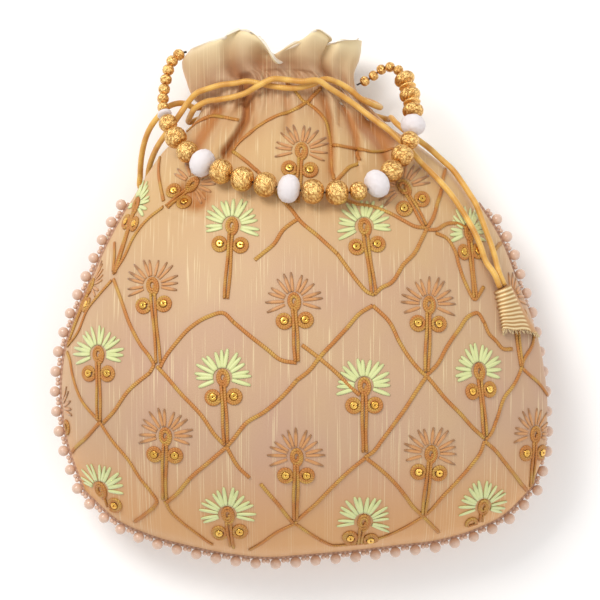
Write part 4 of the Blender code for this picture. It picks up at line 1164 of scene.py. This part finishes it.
# Gold brocade: flat metal threads, bright on the ribs and dark between them.
brocade, tree, shader = new_material("gold_brocade_ribbon", Roughness=0.38, Metallic=0.55)
rib = add_node(tree, "Attribute", attribute_name="rib")
plain = add_node(tree, "Attribute", attribute_name="plain")
weave_lines = add_node(tree, "TexNoise", {"Scale": 1400.0, "Detail": 1.0})
gold_thread = add_node(
    tree,
    "Mix",
    {"Factor": rib.outputs["Fac"], "A": hex_colour("b07f45"), "B": hex_colour("f3dfae")},
    data_type="RGBA",
)
cloth_side = add_node(
    tree,
    "Mix",
    {"Factor": weave_lines.outputs["Fac"], "A": hex_colour("b9854f"), "B": hex_colour("d0a069")},
    data_type="RGBA",
)
wound = add_node(
    tree,
    "Mix",
    {"Factor": plain.outputs["Fac"], "A": gold_thread.outputs["Result"], "B": cloth_side.outputs["Result"]},
    data_type="RGBA",
)
tree.links.new(wound.outputs["Result"], shader.inputs["Base Color"])
bump = add_node(tree, "Bump", {"Height": weave_lines.outputs["Fac"], "Strength": 0.5, "Distance": 0.0002})
tree.links.new(bump.outputs[0], shader.inputs["Normal"])
tassels = {}
for name, (top, side_way, flat_way) in TASSELS.items():
    side_way, flat_way = Vector(side_way), Vector(flat_way)
    up = side_way.cross(flat_way)
    turned = Matrix((side_way, flat_way, up)).transposed()
    rings, sides = 66, 60
    points, rib_level, plain_level = [], [], []
    for r in range(rings + 8):
        share = min(r / rings, 1.0) if r <= rings else 1.0 - (r - rings) * 0.05
        inner = r > rings
        wave = 0.5 - 0.5 * math.cos(2 * math.pi * share * TASSEL_RIBS)
        for s in range(sides):
            turn = 2 * math.pi * s / sides
            bare = min(1.0, max(0.0, (-0.25 - math.cos(turn)) / 0.15)) if name == "tassel_right" else 0.0
            grow = (0.95 + 0.05 * wave * (1 - bare)) * (0.90 if inner else 1.0)
            wide = grow * (TASSEL_TOP + (TASSEL_HEM - TASSEL_TOP) * share) / 2
            thick = grow * (TASSEL_TOP + (TASSEL_THICKNESS - TASSEL_TOP) * share) / 2
            across = wide * math.cos(turn)
            wavy = 0.0004 * math.sin(5 * turn) * share**3
            down = -share * TASSEL_LENGTH + HEM_SLANT * share * across / TASSEL_HEM * 2 + wavy
            points.append(turned @ Vector((across, thick * math.sin(turn), down)) + Vector(top) / 1000)
            rib_level.append(wave**1.3)
            plain_level.append(bare)
    faces = [list(range(sides))]
    for r in range(rings + 7):
        for s in range(sides):
            a, b = r * sides + s, r * sides + (s + 1) % sides
            faces.append([a, a + sides, b + sides, b])
    faces.append([(rings + 7) * sides + s for s in reversed(range(sides))])
    mesh = bpy.data.meshes.new(name)
    mesh.from_pydata([tuple(p) for p in points], [], faces)
    mesh.attributes.new("rib", "FLOAT", "POINT").data.foreach_set("value", rib_level)
    mesh.attributes.new("plain", "FLOAT", "POINT").data.foreach_set("value", plain_level)
    mesh.shade_smooth()
    cone = finished(name + "_cone", mesh, brocade, slot="gold_brocade", replaces=[name])
    hem = points[rings * sides : (rings + 1) * sides]
    frays = []
    for k in range(FRAYED_THREADS):
        root = hem[(k * 7) % sides]
        swing = Vector((math.sin(k * 3.1), math.cos(k * 2.3), math.sin(k * 1.7))) * 0.35
        way = (-up + swing + (root - Vector(top) / 1000).normalized() * 0.5).normalized()
        long = 0.0010 + 0.0012 * abs(math.sin(k * 4.7))
        ends = [tuple(root - way * 0.0008), tuple(root + way * long * 0.5), tuple(root + way * long)]
        frays.append((ends, [tuple(side_way)] * 3, 0.00011, 0.00011, float(k)))
    mesh = swept(frays, 4)
    mesh.attributes.new("rib", "FLOAT", "POINT").data.foreach_set("value", [0.9] * len(mesh.vertices))
    fray = finished(name + "_fray", mesh, brocade, slot="gold_brocade")
    tassels[name] = [cone, fray]

# The drawcords.
# Each is one length of satin rattail, a tube of satin weave over a cotton core, that runs round the
# neck in the frill's casing and comes back to its tassel. Points in mm:
CORD_DIAMETER = 0.0027
LEFT_DRAWCORD = [
    (-70.8, 85.8, 4.1), (-67.9, 91.7, 4.1), (-71.5, 96.9, 3.8), (-71.5, 103.0, 6.3),
    (-70.4, 107.9, 10.8), (-68.5, 112.3, 15.4), (-66.0, 116.5, 20.0), (-62.9, 120.5, 24.4),
    (-59.4, 124.9, 27.9), (-55.6, 130.0, 29.8), (-52.1, 135.1, 30.3), (-47.9, 139.1, 33.6),
    (-42.5, 140.9, 35.9), (-36.9, 142.3, 38.4), (-30.1, 143.1, 38.4), (-25.3, 143.9, 39.0),
    (-18.8, 142.6, 40.0), (-11.1, 141.0, 42.6), (-4.2, 140.5, 42.1), (3.6, 142.1, 41.4),
    (9.8, 144.8, 39.9), (15.1, 143.7, 37.3), (21.0, 140.5, 35.7), (25.9, 136.5, 34.6),
    (31.4, 133.9, 32.4), (35.1, 133.0, 27.0), (32.2, 135.4, 21.1), (27.6, 137.4, 16.2),
    (22.1, 139.8, 13.4), (16.4, 142.4, 11.2), (10.2, 144.6, 9.8), (3.8, 146.1, 8.9),
    (-2.8, 146.8, 8.5), (-9.5, 146.8, 8.4), (-16.1, 146.3, 8.6), (-22.7, 145.0, 9.0),
    (-29.0, 143.0, 10.0), (-35.0, 140.5, 11.6), (-40.7, 137.3, 13.4), (-46.0, 133.9, 17.1),
    (-49.5, 133.3, 21.3), (-55.3, 135.1, 25.1), (-61.2, 133.5, 26.0), (-65.9, 129.0, 24.3),
    (-69.7, 124.1, 21.8), (-72.1, 119.2, 18.1), (-73.7, 114.1, 14.0), (-74.7, 108.9, 10.0),
    (-75.2, 103.4, 6.2), (-75.2, 97.2, 3.9), (-71.0, 93.3, 4.1), (-73.9, 87.4, 4.1),
]
RIGHT_DRAWCORD = [
    (89.6, 52.0, 51.9), (87.1, 58.1, 52.4), (86.0, 63.3, 49.2), (84.1, 69.8, 48.5),
    (82.0, 76.0, 46.4), (80.0, 82.0, 44.1), (77.8, 88.1, 42.1), (74.7, 93.6, 39.3),
    (71.4, 98.9, 37.0), (67.5, 104.3, 35.4), (62.6, 108.9, 34.4), (57.6, 113.5, 34.8),
    (52.2, 117.6, 35.3), (46.7, 121.4, 35.3), (42.4, 125.3, 32.4), (40.2, 128.3, 26.7),
    (39.3, 128.1, 19.2), (34.6, 129.5, 14.5), (28.8, 131.8, 12.2), (22.8, 134.2, 10.1),
    (16.7, 136.3, 8.6), (10.2, 137.8, 7.6), (3.6, 138.8, 7.2), (-3.1, 139.2, 6.9),
    (-9.8, 139.2, 6.9), (-16.5, 138.6, 7.2), (-23.1, 137.6, 7.7), (-29.6, 135.9, 8.7),
    (-35.8, 133.8, 10.2), (-41.4, 131.3, 12.2), (-47.1, 128.8, 14.1), (-52.1, 126.8, 18.6),
    (-51.2, 129.4, 25.6), (-48.5, 132.8, 30.5), (-44.2, 135.0, 32.9), (-38.1, 135.7, 37.7),
    (-31.3, 136.8, 39.6), (-25.9, 138.5, 39.6), (-20.1, 141.5, 43.7), (-13.5, 144.4, 45.4),
    (-6.9, 144.1, 44.1), (0.0, 143.3, 45.7), (6.0, 143.9, 44.9), (12.2, 140.4, 42.1),
    (17.8, 137.0, 40.4), (23.4, 133.2, 39.9), (28.4, 129.3, 40.6), (33.2, 125.5, 42.2),
    (38.8, 121.3, 43.2), (43.6, 116.7, 44.6), (48.3, 112.1, 46.6), (52.7, 106.9, 47.6),
    (57.6, 102.1, 48.1), (62.1, 97.3, 49.0), (66.3, 92.2, 49.9), (70.1, 86.5, 50.5),
    (73.5, 80.9, 51.5), (76.6, 75.0, 52.9), (79.2, 68.6, 53.6), (81.4, 62.3, 53.7),
    (84.9, 57.1, 55.0), (87.5, 50.9, 54.5),
]

# Satin rattail: golden, with a soft gloss along it and faint turns of the braid each 3 mm.
rattail, *_ = twisted(
    "satin_rattail",
    turns=330.0,
    starts=3,
    patches=95.0,
    spread=(0.35, 0.68),
    tones=("ca903a", "e4b65a"),
    relief=0.25,
    Roughness=0.36,
    Sheen_Weight=0.25,
)
for name, route in (("left", LEFT_DRAWCORD), ("right", RIGHT_DRAWCORD)):
    route = np.array(route) / 1000
    chord = np.concatenate([[0.0], np.cumsum(np.linalg.norm(np.diff(route, axis=0), axis=1))])
    fine = np.linspace(0, chord[-1], int(chord[-1] / 0.0012))
    line = np.stack([smooth(list(zip(chord, route[:, k])), fine) for k in range(3)], axis=1)
    out = np.tile([0.0, 0.0, 1.0], (len(line), 1))
    half = CORD_DIAMETER / 2
    mesh = swept([(line, out, half, half, 0.0)], 14)
    cord = finished("satin_cord_" + name, mesh, rattail, slot="satin_cord", replaces=["drawcord_" + name])
    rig.cord(
        cord,
        exit=tuple(line[0]),
        length=float(np.linalg.norm(np.diff(line, axis=0), axis=1).sum()),
        diameter=CORD_DIAMETER,
        far_end="object",
        stiffness="limp",
        lay="loose",
        with_pieces=tassels["tassel_" + name],
        path=[tuple(point) for point in line],
    )

# The handle.
# A strand of stamped gilt beads and frosted glass beads on a waxed thread, knotted to the frill at
# both ends. Kinds: diameter and length along the thread.
BEADS = {
    "gold_small": (0.0054, 0.0050),
    "gold_ring": (0.0096, 0.0062),
    "gold_medium": (0.0084, 0.0080),
    "gold": (0.0100, 0.0094),
    "gold_large": (0.0112, 0.0102),
    "white": (0.0126, 0.0099),
    "white_round": (0.0110, 0.0088),
    "white_disc": (0.0066, 0.0026),
    "gold_spacer": (0.0078, 0.0016),
}
# The last small beads, at the right end of the strand, are smaller, and so stay clear of the left
# drawcord when the handle swings over.
RIGHT_END_BEADS = 5
RIGHT_END_SIZE = (0.0047, 0.0043)

# Gilt brass, stamped like crumpled foil: bright on the ridges and dark in the hollows, tarnish in part and painted
# shade in part.
gilt_brass, tree, shader = new_material("stamped_gilt_brass", Roughness=0.27, Metallic=1.0)
relief = add_node(tree, "Attribute", attribute_name="relief")
level = add_node(tree, "MapRange", {"Value": relief.outputs["Fac"], "From Min": 0.0, "From Max": 0.28})
stamped = add_node(
    tree,
    "Mix",
    {"Factor": level.outputs[0], "A": hex_colour("b0702a"), "B": hex_colour("ffd58a")},
    data_type="RGBA",
)
tree.links.new(stamped.outputs["Result"], shader.inputs["Base Color"])
crumple = add_node(tree, "TexNoise", {"Scale": 900.0, "Detail": 2.0})
bump = add_node(tree, "Bump", {"Height": crumple.outputs["Fac"], "Strength": 0.5, "Distance": 0.0004})
tree.links.new(bump.outputs[0], shader.inputs["Normal"])

# Frosted glass: chalky, a little lilac, with the sparkle of fine grit.
frosted_glass, _, _ = grained(
    "frosted_glass", 1600.0, 2.0, "e2d8d8", "fdf8fa", relief=0.7, depth=0.0003, Roughness=0.55
)

# Waxed thread: nearly black brown.
waxed_thread, _, _ = grained("waxed_thread", 1500.0, 2.0, "1c120c", "3a271b", Roughness=0.6)
thread_node = bpy.data.objects["handle_thread"]
for socket in thread_node.material_slots:
    socket.material = waxed_thread

bead_nodes = sorted(name for name in frame["nodes"] if name.startswith("bead_"))
middles = []
for name in bead_nodes:
    corners = np.empty(len(bpy.data.objects[name].data.vertices) * 3)
    bpy.data.objects[name].data.vertices.foreach_get("co", corners)
    middles.append(corners.reshape(-1, 3).mean(axis=0))
for number, name in enumerate(bead_nodes):
    kind = name.split("_", 2)[2]
    diameter, long = BEADS[kind]
    if number >= len(bead_nodes) - RIGHT_END_BEADS:
        diameter, long = RIGHT_END_SIZE
    white = kind.startswith("white")
    run = middles[min(number + 1, len(middles) - 1)] - middles[max(number - 1, 0)]
    turned = Vector(run).to_track_quat("Z", "Y").to_matrix()
    rings, sides = (30, 44) if diameter > 0.006 else (18, 26)
    points, relief = [], []
    for r in range(rings + 1):
        tilt = math.pi * (r / rings - 0.5)
        for s in range(sides):
            turn = 2 * math.pi * s / sides
            way = Vector((math.cos(turn) * math.cos(tilt), math.sin(turn) * math.cos(tilt), math.sin(tilt)))
            if white or kind == "gold_spacer":
                rough = 0.5 + noise_field.noise(way * diameter * 420 + Vector((number * 5.0, 0, 0)))
                relief.append(1.0)
                grow = 1 + 0.07 * (rough - 0.5)
            else:
                far = noise_field.voronoi(way * diameter * 330 + Vector((number * 7.0, 0, 0)))[0]
                ridge = min(1.0, far[1] - far[0])
                relief.append(ridge)
                grow = 1 + 0.09 * (min(ridge, 0.45) - 0.30)
            round_off = math.cos(tilt) ** (0.95 if white else 0.9)
            flat = math.copysign(abs(math.sin(tilt)) ** 0.95, math.sin(tilt))
            body = Vector(
                (
                    math.cos(turn) * round_off * diameter / 2 * grow,
                    math.sin(turn) * round_off * diameter / 2 * grow,
                    flat * long / 2 * (1 + (grow - 1) * 0.5),
                )
            )
            points.append(turned @ body + Vector(middles[number]))
    faces = []
    for r in range(rings):
        for s in range(sides):
            a, b = r * sides + s, r * sides + (s + 1) % sides
            faces.append([a, b, b + sides, a + sides])
    mesh = bpy.data.meshes.new(name)
    mesh.from_pydata([tuple(p) for p in points], [], faces)
    mesh.attributes.new("relief", "FLOAT", "POINT").data.foreach_set("value", relief)
    mesh.shade_smooth()
    finished(
        "stamped_" + name if not white else "frosted_" + name,
        mesh,
        frosted_glass if white else gilt_brass,
        body="handle",
        slot="frosted_white_bead" if white else "antique_gold_bead",
        replaces=[name],
    )

with open("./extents.json", "w") as file:
    json.dump({"cad": [list(c) for c in CAD_BOX], "scene": [list(c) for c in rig.bounds()]}, file)
